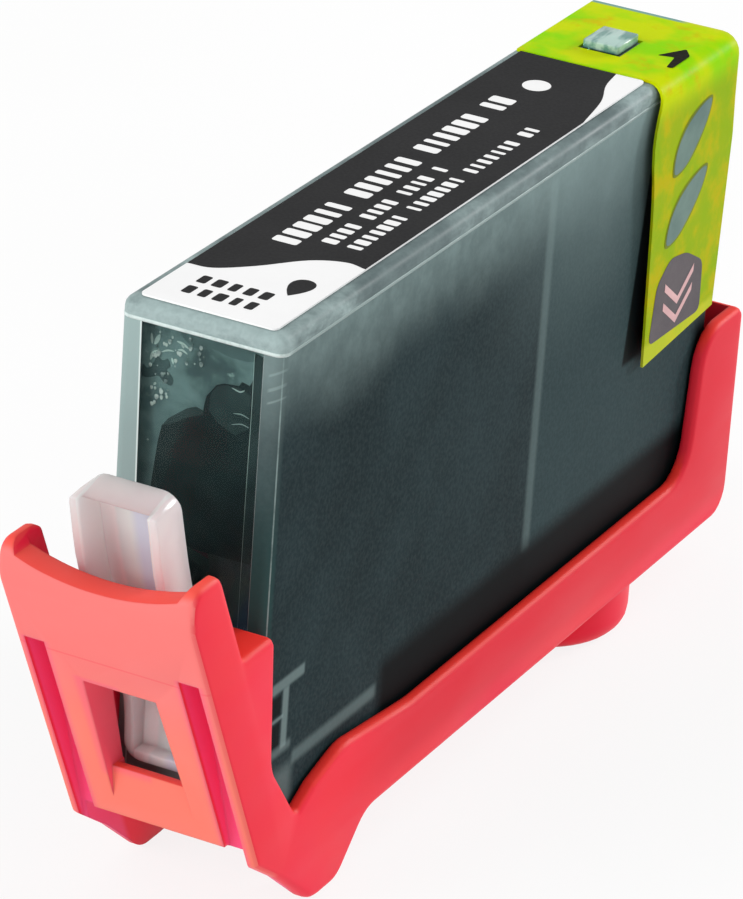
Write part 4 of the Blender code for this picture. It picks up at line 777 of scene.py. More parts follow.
@dataclass
class Shell:
    """A dressed copy of a CAD node: merged, shaded by angle and with its edges broken.

    Lengths are millimetres, and angles are degrees.
    """

    node: str
    body: Body = Body.CARTRIDGE
    edge: float = 0.0
    segments: int = 2
    angle: float = 32.0
    merge: float = 0.002
    flat: float = 1.0

    def copy(self) -> bpy.types.Object:
        """Copy the node's mesh, merge its corners and join its flat triangles.

        Returns:
            The new object, at the origin.
        """
        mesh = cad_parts[self.node].data.copy()
        mesh.name = f"{self.node}_dressed"
        mesh.materials.clear()
        builder = bmesh.new()
        builder.from_mesh(mesh)
        bmesh.ops.remove_doubles(builder, verts=builder.verts, dist=self.merge * MM)
        bmesh.ops.dissolve_limit(builder, angle_limit=math.radians(self.flat), verts=builder.verts,
                                 edges=builder.edges)
        bmesh.ops.recalc_face_normals(builder, faces=builder.faces)
        builder.to_mesh(mesh)
        builder.free()
        for layer in list(mesh.uv_layers):
            mesh.uv_layers.remove(layer)
        piece = bpy.data.objects.new(f"{self.node}_dressed", mesh)
        bpy.context.scene.collection.objects.link(piece)
        return piece

    def break_edges(self, piece: bpy.types.Object) -> None:
        """Round the piece's sharp edges and shade it smooth between them."""
        if self.edge > 0:
            step = piece.modifiers.new("broken_edges", "BEVEL")
            step.width = self.edge * MM
            step.segments = self.segments
            step.limit_method = "ANGLE"
            step.angle_limit = math.radians(self.angle)
            step.use_clamp_overlap = True
            step.miter_outer = "MITER_ARC"
            freeze(piece)
        piece.data.shade_smooth()
        piece.data.set_sharp_from_angle(angle=math.radians(self.angle))

    def build(self, finish: Finish) -> None:
        """Make the dressed copy, give it its finish and put it in the node's place."""
        piece, material = self.copy(), finish.build()
        self.break_edges(piece)
        piece.data.materials.append(material)
        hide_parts(self.node)
        settle(piece, self.body)


def freeze(piece: bpy.types.Object) -> None:
    """Apply all the piece's modifiers to its mesh."""
    depsgraph = bpy.context.evaluated_depsgraph_get()
    made = bpy.data.meshes.new_from_object(piece.evaluated_get(depsgraph))
    before = piece.data
    piece.modifiers.clear()
    piece.data = made
    made.name = piece.name
    bpy.data.meshes.remove(before)


def settle(piece: bpy.types.Object, body: Body = Body.CARTRIDGE) -> None:
    """Let the piece ride on its body and log it.

    Args:
        piece: The finished piece.
        body: The body it moves with.
    """
    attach(piece, body.value)
    LOG.info("%s rides on %s: %d faces", piece.name, body.value, len(piece.data.polygons))


def dress(node: str, finish: bpy.types.Material) -> None:
    """Give a CAD node that stays a better material."""
    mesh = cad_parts[node].data
    mesh.materials.clear()
    mesh.materials.append(finish)
    LOG.info("%s keeps its CAD mesh in %s", node, finish.name)


def from_builder(name: str, builder: bmesh.types.BMesh, finish: bpy.types.Material | None = None,
                 split: bool = False) -> bpy.types.Object:
    """Turn a mesh builder into an object at the origin, with its faces outwards.

    Args:
        name: The piece's name.
        builder: The mesh builder, which is freed.
        finish: Its material.
        split: Cut the faces of more than four corners into triangles.

    Returns:
        The piece.
    """
    bmesh.ops.recalc_face_normals(builder, faces=builder.faces)
    if split:
        bmesh.ops.triangulate(builder, faces=[face for face in builder.faces if len(face.verts) > 4])
    mesh = bpy.data.meshes.new(name)
    builder.to_mesh(mesh)
    builder.free()
    if finish is not None:
        mesh.materials.append(finish)
    piece = bpy.data.objects.new(name, mesh)
    bpy.context.scene.collection.objects.link(piece)
    return piece


def mesh_piece(name: str, verts: Sequence[Sequence[float]], faces: Sequence[Sequence[int]],
               finish: bpy.types.Material) -> bpy.types.Object:
    """Make an object at the origin from points and faces.

    Args:
        name: The piece's name.
        verts: Its points in metres.
        faces: Its faces as point numbers.
        finish: Its material.

    Returns:
        The piece.
    """
    draft = bpy.data.meshes.new(name)
    draft.from_pydata([tuple(v) for v in verts], [], [tuple(f) for f in faces])
    draft.validate()
    builder = bmesh.new()
    builder.from_mesh(draft)
    bpy.data.meshes.remove(draft)
    return from_builder(name, builder, finish)


class Plane(Enum):
    """Planes that flat outlines are drawn on: X and Y, or X and Z."""

    TOP = "top"
    FRONT = "front"

    def spot(self, u: float, v: float, depth: float) -> Vector:
        """Return an outline's point in space, in metres, from millimetres."""
        u, v, depth = u * MM, v * MM, depth * MM
        return Vector((u, v, depth) if self is Plane.TOP else (u, depth, v))


def slab(name: str, outlines: Iterable[Sequence[Point]], low: float, thickness: float,
         finish: bpy.types.Material, plane: Plane = Plane.TOP) -> bpy.types.Object:
    """Extrude flat outlines into thin shapes, all in millimetres.

    Args:
        name: The piece's name.
        outlines: Closed outlines on the plane.
        low: Place of their first face across the plane.
        thickness: How thick they are.
        finish: Their material.
        plane: The plane they are drawn on.

    Returns:
        The piece.
    """
    builder = bmesh.new()
    for outline in outlines:
        lower, upper = ([builder.verts.new(plane.spot(u, v, level)) for u, v in outline]
                        for level in (low, low + thickness))
        builder.faces.new(lower)
        builder.faces.new(upper)
        for index in range(len(outline)):
            after = (index + 1) % len(outline)
            builder.faces.new((lower[index], lower[after], upper[after], upper[index]))
    return from_builder(name, builder, finish, split=True)


def ribbon(points: Sequence[Point], width: float) -> list[Point]:
    """Return the outline of a stroke that tapers at both ends.

    Args:
        points: Points the stroke passes.
        width: Its width in the middle.

    Returns:
        The closed outline.
    """
    path = [Vector(spot) for spot in curve_through(points)]
    left, right = [], []
    for index, spot in enumerate(path):
        along = (path[min(index + 1, len(path) - 1)] - path[max(index - 1, 0)]).normalized()
        share = index / (len(path) - 1)
        half = width / 2 * max(0.25, math.sin(math.pi * share) ** 0.5)
        aside = Vector((-along.y, along.x)) * half
        left.append(tuple(spot + aside))
        right.append(tuple(spot - aside))
    return left + right[::-1]


def rounded(points: Sequence[Point], reach: float, steps: int = 4) -> list[Point]:
    """Return a closed outline with its corners rounded.

    Args:
        points: The corners.
        reach: How far from a corner its curve starts.
        steps: Number of pieces in each curve.

    Returns:
        The rounded outline.
    """
    count = len(points)
    outline = []
    for index in range(count):
        before, corner, after = (Vector(points[(index + shift) % count]) for shift in (-1, 0, 1))
        start, end = (corner + (spot - corner).normalized() * min(reach, (spot - corner).length * 0.45)
                      for spot in (before, after))
        for step in range(steps + 1):
            t = step / steps
            outline.append(tuple(start * (1 - t) ** 2 + corner * (2 * t * (1 - t)) + end * t ** 2))
    return outline


def round_box(low: Point, high: Point, corner: float, turns: int, grow: float = 0.0) -> list[Point]:
    """Return a rectangle's outline with round corners.

    Args:
        low: Its lowest corner.
        high: Its highest corner.
        corner: How far the middles of the round corners lie from the sides.
        turns: Number of pieces in each round corner.
        grow: How far the outline lies outside the rectangle.

    Returns:
        The outline.
    """
    spots = []
    for index, (sx, sy) in enumerate(((1, 1), (-1, 1), (-1, -1), (1, -1))):
        x = (high if sx > 0 else low)[0] - sx * corner
        y = (high if sy > 0 else low)[1] - sy * corner
        for step in range(turns + 1):
            angle = math.radians(90 * (index + step / turns))
            spots.append((x + (corner + grow) * math.cos(angle), y + (corner + grow) * math.sin(angle)))
    return spots


def spline(guides: Sequence[Vector], steps: int) -> list[Point]:
    """Return a smooth path through all of the guides but the first and the last.

    Args:
        guides: The points that lead the path.
        steps: Short lines in each span.

    Returns:
        The points of the path, without its very end.
    """
    path = []
    for first, start, end, last in zip(guides, guides[1:], guides[2:], guides[3:]):
        for t in (step / steps for step in range(steps)):
            path.append(tuple(0.5 * (2 * start + (end - first) * t
                                     + (2 * first - 5 * start + 4 * end - last) * t ** 2
                                     + (3 * start - first - 3 * end + last) * t ** 3)))
    return path


def closed_curve(points: Sequence[Point], steps: int = 6) -> list[Point]:
    """Return a smooth closed outline through the points."""
    spots = [Vector(point) for point in points]
    return spline([spots[-1], *spots, *spots[:2]], steps)


def curve_through(points: Sequence[Point], steps: int = 6) -> list[Point]:
    """Return a smooth path through the points."""
    spots = [Vector(point) for point in points]
    guides = [2 * spots[0] - spots[1], *spots, 2 * spots[-1] - spots[-2]]
    return [*spline(guides, steps), tuple(spots[-1])]


def oval(u: float, v: float, wide: float, tall: float, steps: int = 28) -> list[Point]:
    """Return an oval outline about a centre."""
    return [(u + wide * math.cos(math.tau * step / steps),
             v + tall * math.sin(math.tau * step / steps)) for step in range(steps)]


class Studio:
    """Pale floor, soft lamps and the camera at the photograph's angle, all in metres."""

    position = Vector((0.1699045, -0.3520165, 0.2036008))
    right = Vector((0.8828268159, 0.4652947373, 0.0641686884))
    down = Vector((0.2455559013, -0.3407495771, -0.9075197106))
    forward = Vector((-0.4003986919, 0.8169397366, -0.4150787327))
    lens = 5499.13 / 743 * 36
    aim = Vector((0.0, 0.0, 0.025))
    floor_reach = 1.6

    def camera(self) -> None:
        """Set the camera that was fitted to the photograph."""
        data = bpy.data.cameras.new("photo_camera")
        data.sensor_fit = "HORIZONTAL"
        data.sensor_width = 36.0
        data.lens = self.lens
        data.clip_start = 0.01
        turn = Matrix((self.right, -self.down, -self.forward)).transposed()
        camera = bpy.data.objects.new("photo_camera", data)
        camera.matrix_world = Matrix.Translation(self.position) @ turn.to_4x4()
        bpy.context.scene.collection.objects.link(camera)
        bpy.context.scene.camera = camera

    def lamp(self, name: str, place: tuple[float, float, float], size: float, power: float) -> None:
        """Add a soft square white lamp that faces the cartridge.

        Args:
            name: The lamp's name.
            place: Where it stands, in metres.
            size: Its side in metres.
            power: Its power in watts.
        """
        data = bpy.data.lights.new(name, "AREA")
        data.shape = "SQUARE"
        data.size = size
        data.energy = power
        lamp = bpy.data.objects.new(name, data)
        lamp.location = place
        lamp.rotation_mode = "QUATERNION"
        lamp.rotation_quaternion = (self.aim - Vector(place)).to_track_quat("-Z", "Y")
        bpy.context.scene.collection.objects.link(lamp)

    def world(self) -> None:
        """Light evenly with a soft sky, and show plain white behind the object."""
        world = bpy.data.worlds.new("studio_sky")
        bpy.context.scene.world = world
        g = Graph(world)
        back = g.tree.nodes["Background"].inputs
        g.feed(back["Color"], (255, 255, 255))
        g.feed(back["Strength"], g.ramp(g.rays("Camera", "Transmission"), 0.0, 1.0, 0.66, 1.0))

    def floor(self) -> None:
        """Lay the pale floor, which shows white and keeps the object's shadow."""
        g = Graph(bpy.data.materials.new("pale_floor"))
        cloud = g.noise(18.0, 2.0, 0.5)
        g.set(Base_Color=g.mix((244, 244, 243), (250, 250, 250), g.ramp(cloud, 0.3, 0.7)),
              Roughness=0.9)
        glow = g.add("ShaderNodeEmission", {"Color": (255, 255, 255), "Strength": 1.0})
        share = g.times(g.rays("Camera", "Transmission", "Glossy"), 0.86)
        both = g.add("ShaderNodeMixShader", {0: share, 1: g.shader.outputs[0], 2: glow.outputs[0]})
        g.feed(g.tree.nodes["Material Output"].inputs["Surface"], both.outputs[0])
        ring = [(x * self.floor_reach, y * self.floor_reach, 0.0)
                for x, y in ((-1, -1), (1, -1), (1, 1), (-1, 1))]
        ground = mesh_piece("studio_floor", ring, [(0, 1, 2, 3)], g.block)
        if ground.data.polygons[0].normal.z < 0:
            ground.data.flip_normals()

    def build(self) -> None:
        """Set up the camera, the lamps, the sky and the floor."""
        self.camera()
        self.world()
        self.floor()
        self.lamp("key_softbox", (-0.42, -0.84, 0.47), 0.45, 4.4)
        self.lamp("rear_side_lamp", (0.32, 0.64, 0.26), 0.1, 2.6)
        bpy.context.scene.view_settings.view_transform = "Standard"


@dataclass
class FrontFilm:
    """Ink, haze and droplets that cling to the inside of the tank's front wall.

    Outlines are X and the depth below the tank's top, in millimetres.
    """

    wall: float = 1.1
    clearance: float = 0.17
    layer_pitch: float = 0.03
    thickness: float = 0.02
    drop_count: float = 3.0
    drop_sizes: Point = (0.04, 0.19)
    seed: int = 11
    air_space: tuple[Point, ...] = (
        (-4.6, 2.3), (0.6, 2.5), (-0.3, 4.2), (-2.2, 5.0), (-3.0, 7.6), (-4.6, 9.0))
    haze: tuple[Point, ...] = ((-5.44, 1.9), (5.2, 1.9), (5.2, 27.6), (-5.4, 27.6))
    mass: tuple[Point, ...] = (
        (3.82, 4.3), (3.55, 4.85), (2.9, 4.72), (2.7, 5.1), (1.5, 5.2), (0.85, 5.5), (0.45, 6.1),
        (0.12, 6.5), (-0.06, 7.4), (-0.1, 7.95), (-1.4, 8.5), (-3.4, 9.8), (-3.68, 11.2),
        (-4.05, 14.6), (-4.3, 21.0), (-4.4, 27.5), (3.82, 27.5))
    shoulder: tuple[Point, ...] = (
        (-3.35, 9.75), (-2.9, 9.1), (-1.45, 7.95), (-0.7, 7.6), (-0.06, 7.75), (-0.12, 8.1),
        (-1.4, 8.65), (-2.6, 9.45))
    crown: tuple[Point, ...] = (
        (0.5, 6.2), (0.95, 5.6), (1.6, 5.32), (2.7, 5.25), (3.7, 5.6), (3.7, 8.2), (2.6, 9.0),
        (1.2, 8.4), (0.35, 7.6))
    top_shade: tuple[Point, ...] = (
        (-2.1, 2.2), (0.0, 2.1), (3.7, 2.2), (3.8, 2.9), (2.0, 3.05), (0.3, 2.75), (-1.2, 3.05))
    blotch: tuple[Point, ...] = (
        (-5.2, 5.4), (-4.8, 5.6), (-4.3, 5.0), (-4.1, 4.5), (-3.6, 4.7), (-3.2, 4.5), (-2.95, 5.0),
        (-3.2, 5.4), (-2.7, 5.9), (-2.8, 6.5), (-3.5, 6.3), (-3.9, 6.0), (-4.6, 6.3), (-5.2, 6.3))
    dark_strip: tuple[Point, ...] = ((3.86, 2.2), (4.75, 2.4), (4.85, 27.5), (3.86, 27.5))
    right_band: tuple[Point, ...] = ((4.75, 2.0), (5.3, 2.0), (5.3, 27.5), (4.86, 27.5))
    # Painted glints and highlight arcs, as paths and widths.
    strokes: tuple[tuple[tuple[Point, ...], float], ...] = (
        (((-4.6, 4.9), (-4.4, 4.35), (-3.95, 4.0)), 0.26),
        (((-3.7, 4.05), (-3.2, 3.8), (-2.7, 3.75)), 0.14),
        (((-2.4, 3.55), (-2.0, 3.5), (-1.6, 3.7)), 0.16),
        (((-2.5, 2.9), (-2.0, 3.0), (-1.5, 3.25)), 0.2), (((-3.9, 2.75), (-4.3, 3.6)), 0.34),
        (((-4.6, 2.8), (-4.5, 3.6)), 0.2), (((-4.2, 6.8), (-4.05, 6.55)), 0.2),
        (((-2.85, 4.3), (-2.7, 4.75)), 0.16), (((2.15, 5.35), (2.8, 5.5), (3.2, 5.3)), 0.12),
        (((2.4, 7.3), (3.05, 7.22), (3.7, 7.4)), 0.09), (((2.3, 8.2), (3.1, 7.98), (3.72, 8.1)), 0.07),
        (((-4.55, 11.2), (-4.38, 11.2)), 0.17))

    def sheet(self, name: str, outlines: Iterable[Sequence[Point]], layer: int,
              finish: bpy.types.Material) -> None:
        """Lay thin upright shapes behind the front wall.

        Args:
            name: The piece's name.
            outlines: Their outlines.
            layer: Their place in the stack, 0 the deepest.
            finish: Their material.
        """
        inner = TANK_FRONT + self.wall + self.clearance - self.layer_pitch * layer
        flat = [[(x, TANK_TOP - drop) for x, drop in outline] for outline in outlines]
        settle(slab(name, flat, inner, self.thickness, finish, Plane.FRONT))

    def drop_shape(self) -> bpy.types.Object:
        """Return one droplet of unit size, flat on the wall and taller than it is wide."""
        builder = bmesh.new()
        bmesh.ops.create_icosphere(builder, subdivisions=2, radius=1.0)
        for corner in builder.verts:
            corner.co.y *= 0.3
            corner.co.z *= 1.25 - 0.35 * corner.co.z
        drop = from_builder("drop_shape", builder)
        drop.data.shade_smooth()
        return drop

    def droplets(self) -> None:
        """Scatter droplets over the air space above the ink."""
        inner = TANK_FRONT + self.wall + self.layer_pitch
        verts = [(x * MM, inner * MM, (TANK_TOP - drop) * MM) for x, drop in self.air_space]
        piece = mesh_piece("front_droplets", verts, [tuple(range(len(verts)))], Droplet().build())
        drop = self.drop_shape()
        smallest, largest = (size * MM for size in self.drop_sizes)
        nodes = Repeater("droplets", {
            "Drop": ("Object", drop), "Per Square Millimetre": ("Float", self.drop_count),
            "Smallest": ("Float", smallest), "Largest": ("Float", largest),
            "Seed": ("Int", self.seed), "Finish": ("Material", piece.data.materials[0])})
        rate = nodes.add("ShaderNodeMath", {0: "Per Square Millimetre", 1: MM ** -2},
                         operation="MULTIPLY")
        scatter = nodes.add("GeometryNodeDistributePointsOnFaces",
                            {"Mesh": "Geometry", "Density": rate.outputs[0], "Seed": "Seed"})
        shape = nodes.add("GeometryNodeObjectInfo", {"Object": "Drop"})
        nodes.close(scatter.outputs["Points"], {"Instance": shape.outputs["Geometry"],
                                                "Scale": nodes.uneven("Smallest", "Largest")})
        nodes.apply(piece)
        bpy.data.objects.remove(drop, do_unlink=True)
        piece.data.shade_smooth()
        settle(piece)

    def build(self) -> None:
        """Lay the sheets, the painted glints and highlight arcs, the droplets and the painted highlight
        line.
        """
        haze = InkFilm("damp_haze", (128, 150, 151), (92, 113, 115), True).build()
        deep, soft, dim, row, strip, band, line = (InkFilm(*look).build() for look in (
            ("ink_against_wall", (46, 59, 61), (38, 49, 51)),
            ("ink_thin_edge", (66, 82, 84), (54, 68, 70)),
            ("damp_shade", (82, 101, 103), (58, 74, 76)),
            ("damp_row", (104, 125, 127), (74, 92, 94)),
            ("wall_edge_shade", (66, 82, 84), (52, 66, 68)),
            ("wall_edge_band", (70, 86, 88), (60, 76, 78)),
            ("moulded_line", (208, 222, 218), (156, 172, 169))))
        for name, outline, layer, finish in (
                ("haze_film", self.haze, 0, haze), ("ink_film", self.mass, 1, deep),
                ("ink_shoulder_film", self.shoulder, 2, soft),
                ("ink_crown_film", self.crown, 2, soft),
                ("top_shade_film", closed_curve(self.top_shade), 2, row),
                ("damp_blotch_film", closed_curve(self.blotch), 2, dim),
                ("wall_edge_shade", self.dark_strip, 2, strip),
                ("wall_edge_band", self.right_band, 3, band)):
            self.sheet(name, [outline], layer, finish)
        # Painted glints and highlight arcs on the haze and the ink.
        self.sheet("light_strokes", [ribbon(path, width) for path, width in self.strokes], 3, line)
        # Painted highlight line along the ink's right edge.
        self.sheet("moulded_line", [
            ribbon(((3.82, 2.3), (3.86, 6.7), (3.8, 14.0), (3.78, 26.0)), 0.045)], 4, line)
        self.droplets()


@dataclass
class TankUnit:
    """The see-through tank with its lid, its ink and the weld line between them.

    The bead is how far each line of its section lies outside the wall and above the seam.
    """

    half: float = 6.75
    end: float = 43.35
    corner: float = 0.9
    seam: float = 47.25
    bead: tuple[Point, ...] = (
        (-0.25, -0.1), (0.012, -0.14), (0.03, 0.0), (0.012, 0.14), (-0.25, 0.1))

    def weld_line(self) -> bpy.types.Object:
        """Return the thin pale bead where the lid is welded to the tank."""
        rows = [(round_box((-self.half, TANK_FRONT), (self.half, self.end), self.corner, 6, grow),
                 self.seam + rise) for grow, rise in self.bead]
        verts = [(x * MM, y * MM, z * MM) for row, z in rows for x, y in row]
        count, total = len(rows[0][0]), len(verts)
        faces = [(r + i, r + (i + 1) % count, (r + count) % total + (i + 1) % count,
                  (r + count) % total + i) for r in range(0, total, count) for i in range(count)]
        piece = mesh_piece("lid_weld_line", verts, faces, SeamBead().build())
        piece.data.shade_smooth()
        return piece

    def build(self) -> None:
        """Dress the tank, the lid and the ink, and lay the weld line."""
        Shell("tank_body", angle=28.0).build(TankPlastic())
        Shell("tank_lid", angle=35.0).build(LidPlastic())
        Shell("ink_fill", angle=40.0).build(WetInk())
        settle(self.weld_line())


class Motif(Enum):
    """Stamps that the printed rows repeat."""

    BLOCK = "block"
    DROP = "drop"


@dataclass
class PrintRow:
    """A row of equal printed stamps with slightly uneven lengths, made with Geometry Nodes.

    Its start is X and the distance from the label's front end. All lengths are millimetres.
    """

    name: str
    motif: Motif
    start: Point
    pitch: float
    count: int
    length: float
    height: float
    unevenness: float
    seed: int
    word: int = 99
    across: bool = False

    def stamp(self) -> bpy.types.Object:
        """Return one stamp, flat in the label's plane, with its length along Y."""
        wide, long = self.height / 2, self.length / 2
        if self.motif is Motif.BLOCK:
            spots = round_box((-wide, -long), (wide, long), min(self.length, self.height) * 0.2, 3)
        else:
            spots = [(wide * math.sin(t) * math.sin(t / 2), -long * math.cos(t))
                     for t in (math.tau * step / 24 for step in range(24))]
        return slab(f"{self.name}_stamp", [spots], 0.0, PRINT_DEPTH, bpy.data.materials[0])

    def build(self, finish: bpy.types.Material, front: float, level: float) -> None:
        """Print the row.

        Args:
            finish: The printing ink.
            front: Y of the label's front end.
            level: Z that the stamps lie on.
        """
        piece = self.stamp()
        piece.name = self.name
        start = tuple(value * MM for value in (self.start[0], front + self.start[1], level))
        step = (self.pitch * MM, 0.0, 0.0) if self.across else (0.0, self.pitch * MM, 0.0)
        nodes = Repeater(f"{self.name}_row", {
            "Count": ("Int", self.count), "Start": ("Vector", start), "Step": ("Vector", step),
            "Shortest": ("Float", self.unevenness), "Word": ("Int", self.word),
            "Seed": ("Int", self.seed), "Finish": ("Material", finish)})
        line = nodes.add("GeometryNodeMeshLine",
                         {"Count": "Count", "Start Location": "Start", "Offset": "Step"})
        index = nodes.add("GeometryNodeInputIndex").outputs[0]
        turn = nodes.add("ShaderNodeMath", {0: index, 1: "Word"}, operation="MODULO")
        inside = nodes.add("ShaderNodeMath", {0: turn.outputs[0], 1: 0.5}, operation="GREATER_THAN")
        scale = nodes.add("ShaderNodeCombineXYZ", {
            "X": 1.0, "Y": 1.0, "Z": 1.0,
            "X" if self.across else "Y": nodes.uneven("Shortest", 1.0)})
        nodes.close(line.outputs[0], {"Selection": inside.outputs[0], "Instance": "Geometry",
                                      "Scale": scale.outputs[0]})
        nodes.apply(piece)
        settle(piece)


@dataclass
class TopLabel:
    """White label with a charcoal field and plain rows of blocks where lettering would be.

    Lengths are millimetres, from the label's front end where they run along it.
    """

    half: float = 5.6
    start: float = -33.45
    length: float = 61.7
    charcoal_rows: tuple[PrintRow, ...] = (
        PrintRow("label_front_upper", Motif.BLOCK, (-4.3, 4.9), 1.28, 6, 1.4, 0.98, 0.6, 2, across=True),
        PrintRow("label_front_lower", Motif.BLOCK, (-4.3, 2.7), 1.28, 6, 1.4, 0.98, 0.6, 6, across=True),
        PrintRow("label_front_drop", Motif.DROP, (3.3, 4.2), 3.4, 2, 3.4, 2.5, 1.0, 4))
    white_rows: tuple[PrintRow, ...] = (
        PrintRow("label_row_large", Motif.BLOCK, (-1.75, 13.4), 1.62, 24, 1.25, 2.1, 0.5, 3, 7),
        PrintRow("label_row_middle", Motif.BLOCK, (1.0, 15.6), 1.18, 17, 0.86, 1.25, 0.5, 5, 5),
        PrintRow("label_row_small", Motif.BLOCK, (3.05, 15.6), 1.18, 27, 0.86, 1.2, 0.45, 8, 8))

    def field(self) -> list[Point]:
        """Return the charcoal field's outline with its two curved ends."""
        half, low, high = self.half - 0.02, self.start, self.start + self.length
        front = curve_through([(x, low + y) for x, y in (
            (-half, 6.9), (-3.6, 7.2), (-1.2, 9.4), (1.4, 12.6), (3.8, 13.9), (half, 13.6))])
        rear = curve_through([(x, high - y) for x, y in (
            (half, 11.5), (4.7, 6.4), (3.5, 3.0), (3.0, 0.02))])
        return [*front, *rear, (-half, high - 0.02)]

    def build(self) -> None:
        """Dress the label and print on it."""
        Shell("top_label").build(PrintFilm("label_film", (255, 255, 255), (252, 252, 252)))
        charcoal = PrintFilm("label_charcoal", (48, 48, 49), (44, 44, 45)).build()
        light = PrintFilm("label_white_ink", (254, 254, 254), (250, 250, 250)).build()
        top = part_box("top_label")[1].z / MM + PRINT_LIFT
        settle(slab("label_field_print", [self.field()], top, PRINT_DEPTH, charcoal))
        above = top + PRINT_DEPTH + 0.002
        for row in self.white_rows:
            row.build(light, self.start, above)
        hole = oval(-1.0, self.start + 55.3, 1.15, 1.25)
        settle(slab("label_hole_print", [hole], above, PRINT_DEPTH, light))
        for row in self.charcoal_rows:
            row.build(charcoal, self.start, top)


@dataclass
class PullTape:
    """Yellow pull tape with its grey print, and the clear cap in its window.

    Side outlines are millimetres along the tank and below its top.
    """

    slice_pitch: float = 0.5
    far_right: float = 50.0
    mark: tuple[Point, ...] = ((3.9, 68.2), (5.3, 70.9), (6.2, 69.6), (6.2, 66.3), (5.7, 66.1),
                               (5.3, 68.6))
    leaf: tuple[Point, ...] = ((65.0, 8.2), (65.3, 6.3), (67.0, 4.7), (69.6, 3.7), (71.6, 3.6),
                               (70.9, 5.2), (69.0, 6.9), (67.0, 8.1))
    flap: tuple[Point, ...] = ((64.9, 14.4), (65.2, 12.4), (66.7, 10.8), (69.2, 9.7), (71.5, 9.5),
                               (70.9, 11.2), (69.0, 13.0), (66.9, 14.3))
    pad: tuple[Point, ...] = ((66.2, 16.0), (69.4, 16.5), (73.0, 18.4), (73.4, 23.1), (63.4, 22.9),
                              (63.9, 17.7))

    def side_print(self, name: str, outlines: Sequence[Sequence[Point]], lift: float,
                   finish: bpy.types.Material) -> None:
        """Print flat shapes that follow the hanging part of the tape.

        Args:
            name: The piece's name.
            outlines: Closed outlines.
            lift: Height above the tape in millimetres.
            finish: The printing ink.
        """
        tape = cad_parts["pull_tape"].data
        tree = BVHTree.FromPolygons([corner.co for corner in tape.vertices],
                                    [face.vertices for face in tape.polygons])

        def surface(y: float, z: float) -> float:
            """Return the X of the tape's outer face at a place."""
            hit = tree.ray_cast(Vector((self.far_right * MM, y, z)), Vector((-1.0, 0.0, 0.0)))[0]
            return hit.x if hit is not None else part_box("pull_tape")[1].x

        builder = bmesh.new()
        for outline in outlines:
            builder.faces.new([builder.verts.new((0.0, (TANK_FRONT + y) * MM, (TANK_TOP - drop) * MM))
                               for y, drop in outline])
        low, high = (pick(corner.co.z for corner in builder.verts) for pick in (min, max))
        slice_height = self.slice_pitch * MM
        for index in range(1, math.ceil((high - low) / slice_height)):
            cut = (0.0, 0.0, low + index * slice_height)
            bmesh.ops.bisect_plane(builder, geom=[*builder.verts, *builder.edges, *builder.faces],
                                   plane_co=cut, plane_no=(0.0, 0.0, 1.0))
        raised = bmesh.ops.extrude_face_region(builder, geom=list(builder.faces))["geom"]
        upper = {item for item in raised if isinstance(item, bmesh.types.BMVert)}
        for corner in builder.verts:
            rise = lift + (PRINT_DEPTH if corner in upper else 0.0)
            corner.co.x = surface(corner.co.y, corner.co.z) + rise * MM
        settle(from_builder(name, builder, finish))

    def build(self) -> None:
        """Dress the tape and the vent cap, and print on the tape."""
        Shell("pull_tape", angle=40.0).build(TapeFilm())
        Shell("vent_cap", edge=0.12, angle=40.0).build(ClearCap())
        olive, slate, mauve, pink, black = (PrintFilm(*look).build() for look in (
            ("tape_olive_ink", (128, 140, 40), (112, 126, 40), 0.45),
            ("tape_slate_ink", (118, 142, 134), (98, 122, 118), 0.45),
            ("tape_mauve_ink", (104, 98, 101), (94, 89, 93), 0.45),
            ("tape_pink_ink", (232, 190, 190), (214, 170, 172), 0.45),
            ("tape_black_ink", (28, 24, 8), (20, 18, 8), 0.5)))
        shapes = [closed_curve(shape) for shape in (self.leaf, self.flap)]
        self.side_print("tape_print_outline", [self.grow(shape, 0.3) for shape in shapes], 0.02, olive)
        self.side_print("tape_print_shapes", shapes, 0.04, slate)
        self.side_print("tape_print_pad", [rounded(self.pad, 0.9)], 0.02, mauve)
        arrows = [[(65.6, level), (68.4, level + 2.0), (71.2, level), (71.2, level + 0.7),
                   (68.4, level + 2.7), (65.6, level + 0.7)] for level in (18.1, 19.8)]
        self.side_print("tape_print_arrows", arrows, 0.04, pink)
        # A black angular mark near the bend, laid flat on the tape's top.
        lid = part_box("pull_tape")[1].z / MM + PRINT_LIFT
        mark = rounded([(x, TANK_FRONT + y) for x, y in self.mark], 0.25)
        settle(slab("tape_print_mark", [mark], lid, PRINT_DEPTH, black))

    @staticmethod
    def grow(outline: Sequence[Point], margin: float) -> list[Point]:
        """Return an outline pushed outwards from its centre by a margin."""
        centre = Vector((sum(p[0] for p in outline), sum(p[1] for p in outline))) / len(outline)
        grown = []
        for spot in outline:
            away = Vector(spot) - centre
            grown.append(tuple(centre + away * (1 + margin / max(away.length, 0.1))))
        return grown


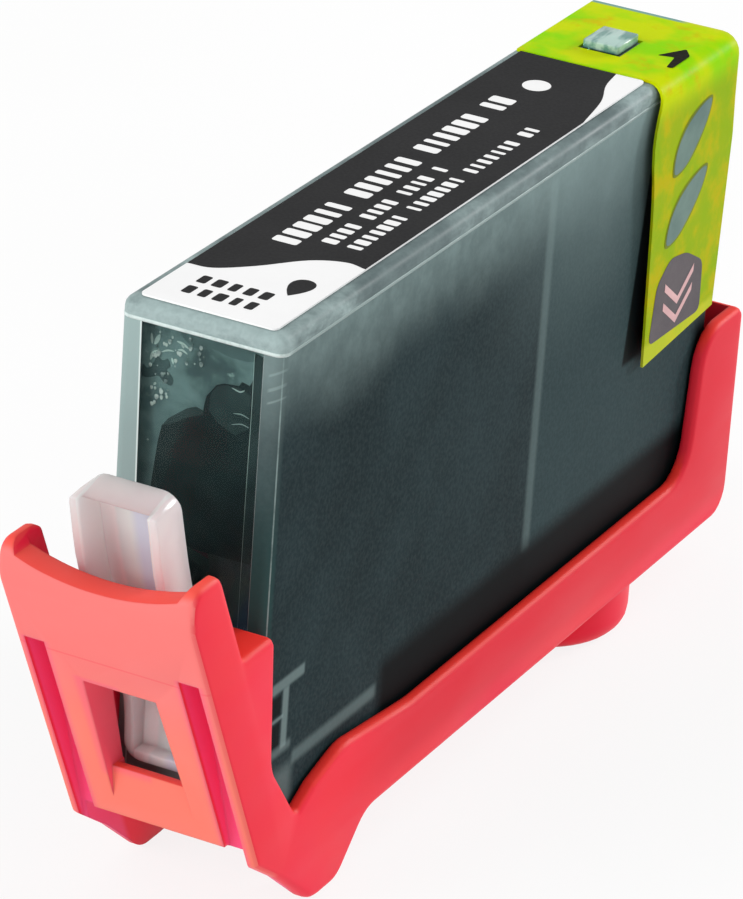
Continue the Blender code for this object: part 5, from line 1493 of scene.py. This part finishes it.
@dataclass
class Moulding:
    """A single moulding with nothing printed on it or laid in it."""

    shell: Shell
    finish: Finish

    def build(self) -> None:
        """Dress the moulding."""
        self.shell.build(self.finish)


@dataclass
class InnerPieces:
    """Sealed pieces that show only through the plastic or in an opened view."""

    looks: tuple[tuple[Finish, tuple[str, ...]], ...] = (
        (SoftPiece("foam", (36, 42, 44), (20, 24, 26), 1500.0, 0.85, 0.12), ("foam_lower", "foam_upper")),
        (SoftPiece("felt", (120, 122, 124), (90, 93, 95), 2600.0, 0.9, 0.05), ("wick_felt",)),
        (SoftPiece("seal_rubber", (40, 40, 42), (28, 28, 30), 900.0, 0.55, 0.01),
         ("outlet_seal_ring", "clip_seal_pad")),
        (SoftPiece("plug_rubber", (38, 38, 40), (26, 26, 28), 900.0, 0.55, 0.01), ("fill_plug",)),
        (SoftPiece("board", (26, 92, 58), (18, 70, 44), 1400.0, 0.35, 0.01, coat=0.4), ("chip_board",)),
        (SoftPiece("die_resin", (24, 24, 25), (16, 16, 17), 700.0, 0.4, 0.01), ("chip_die",)),
        (SoftPiece("contact_metal", (232, 192, 104), (206, 160, 72), 1600.0, 0.25, 0.006, metallic=1.0),
         tuple(f"chip_contact_{index}" for index in range(1, 5))),
        (SoftPiece("membrane", (232, 232, 228), (212, 212, 208), 2200.0, 0.7, 0.01), ("vent_membrane",)),
        (WovenWire(), ("outlet_filter",)))

    def build(self) -> None:
        """Give every sealed or small piece its finish."""
        for look, nodes in self.looks:
            finish = look.build()
            for node in nodes:
                dress(node, finish)


def main() -> None:
    """Dress the cartridge, sub-assembly by sub-assembly, and light it."""
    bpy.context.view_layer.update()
    Studio().build()
    lever = Moulding(Shell("latch_lever", Body.LEVER, edge=0.12, angle=30.0), RosyClear())
    clip = Moulding(Shell("transport_clip", edge=0.22, angle=30.0), MouldedRed())
    for unit in (InnerPieces(), TankUnit(), FrontFilm(), TopLabel(), PullTape(), lever, clip):
        unit.build()
        LOG.info("%s is done", type(unit).__name__)


if __name__ == "__main__":
    main()
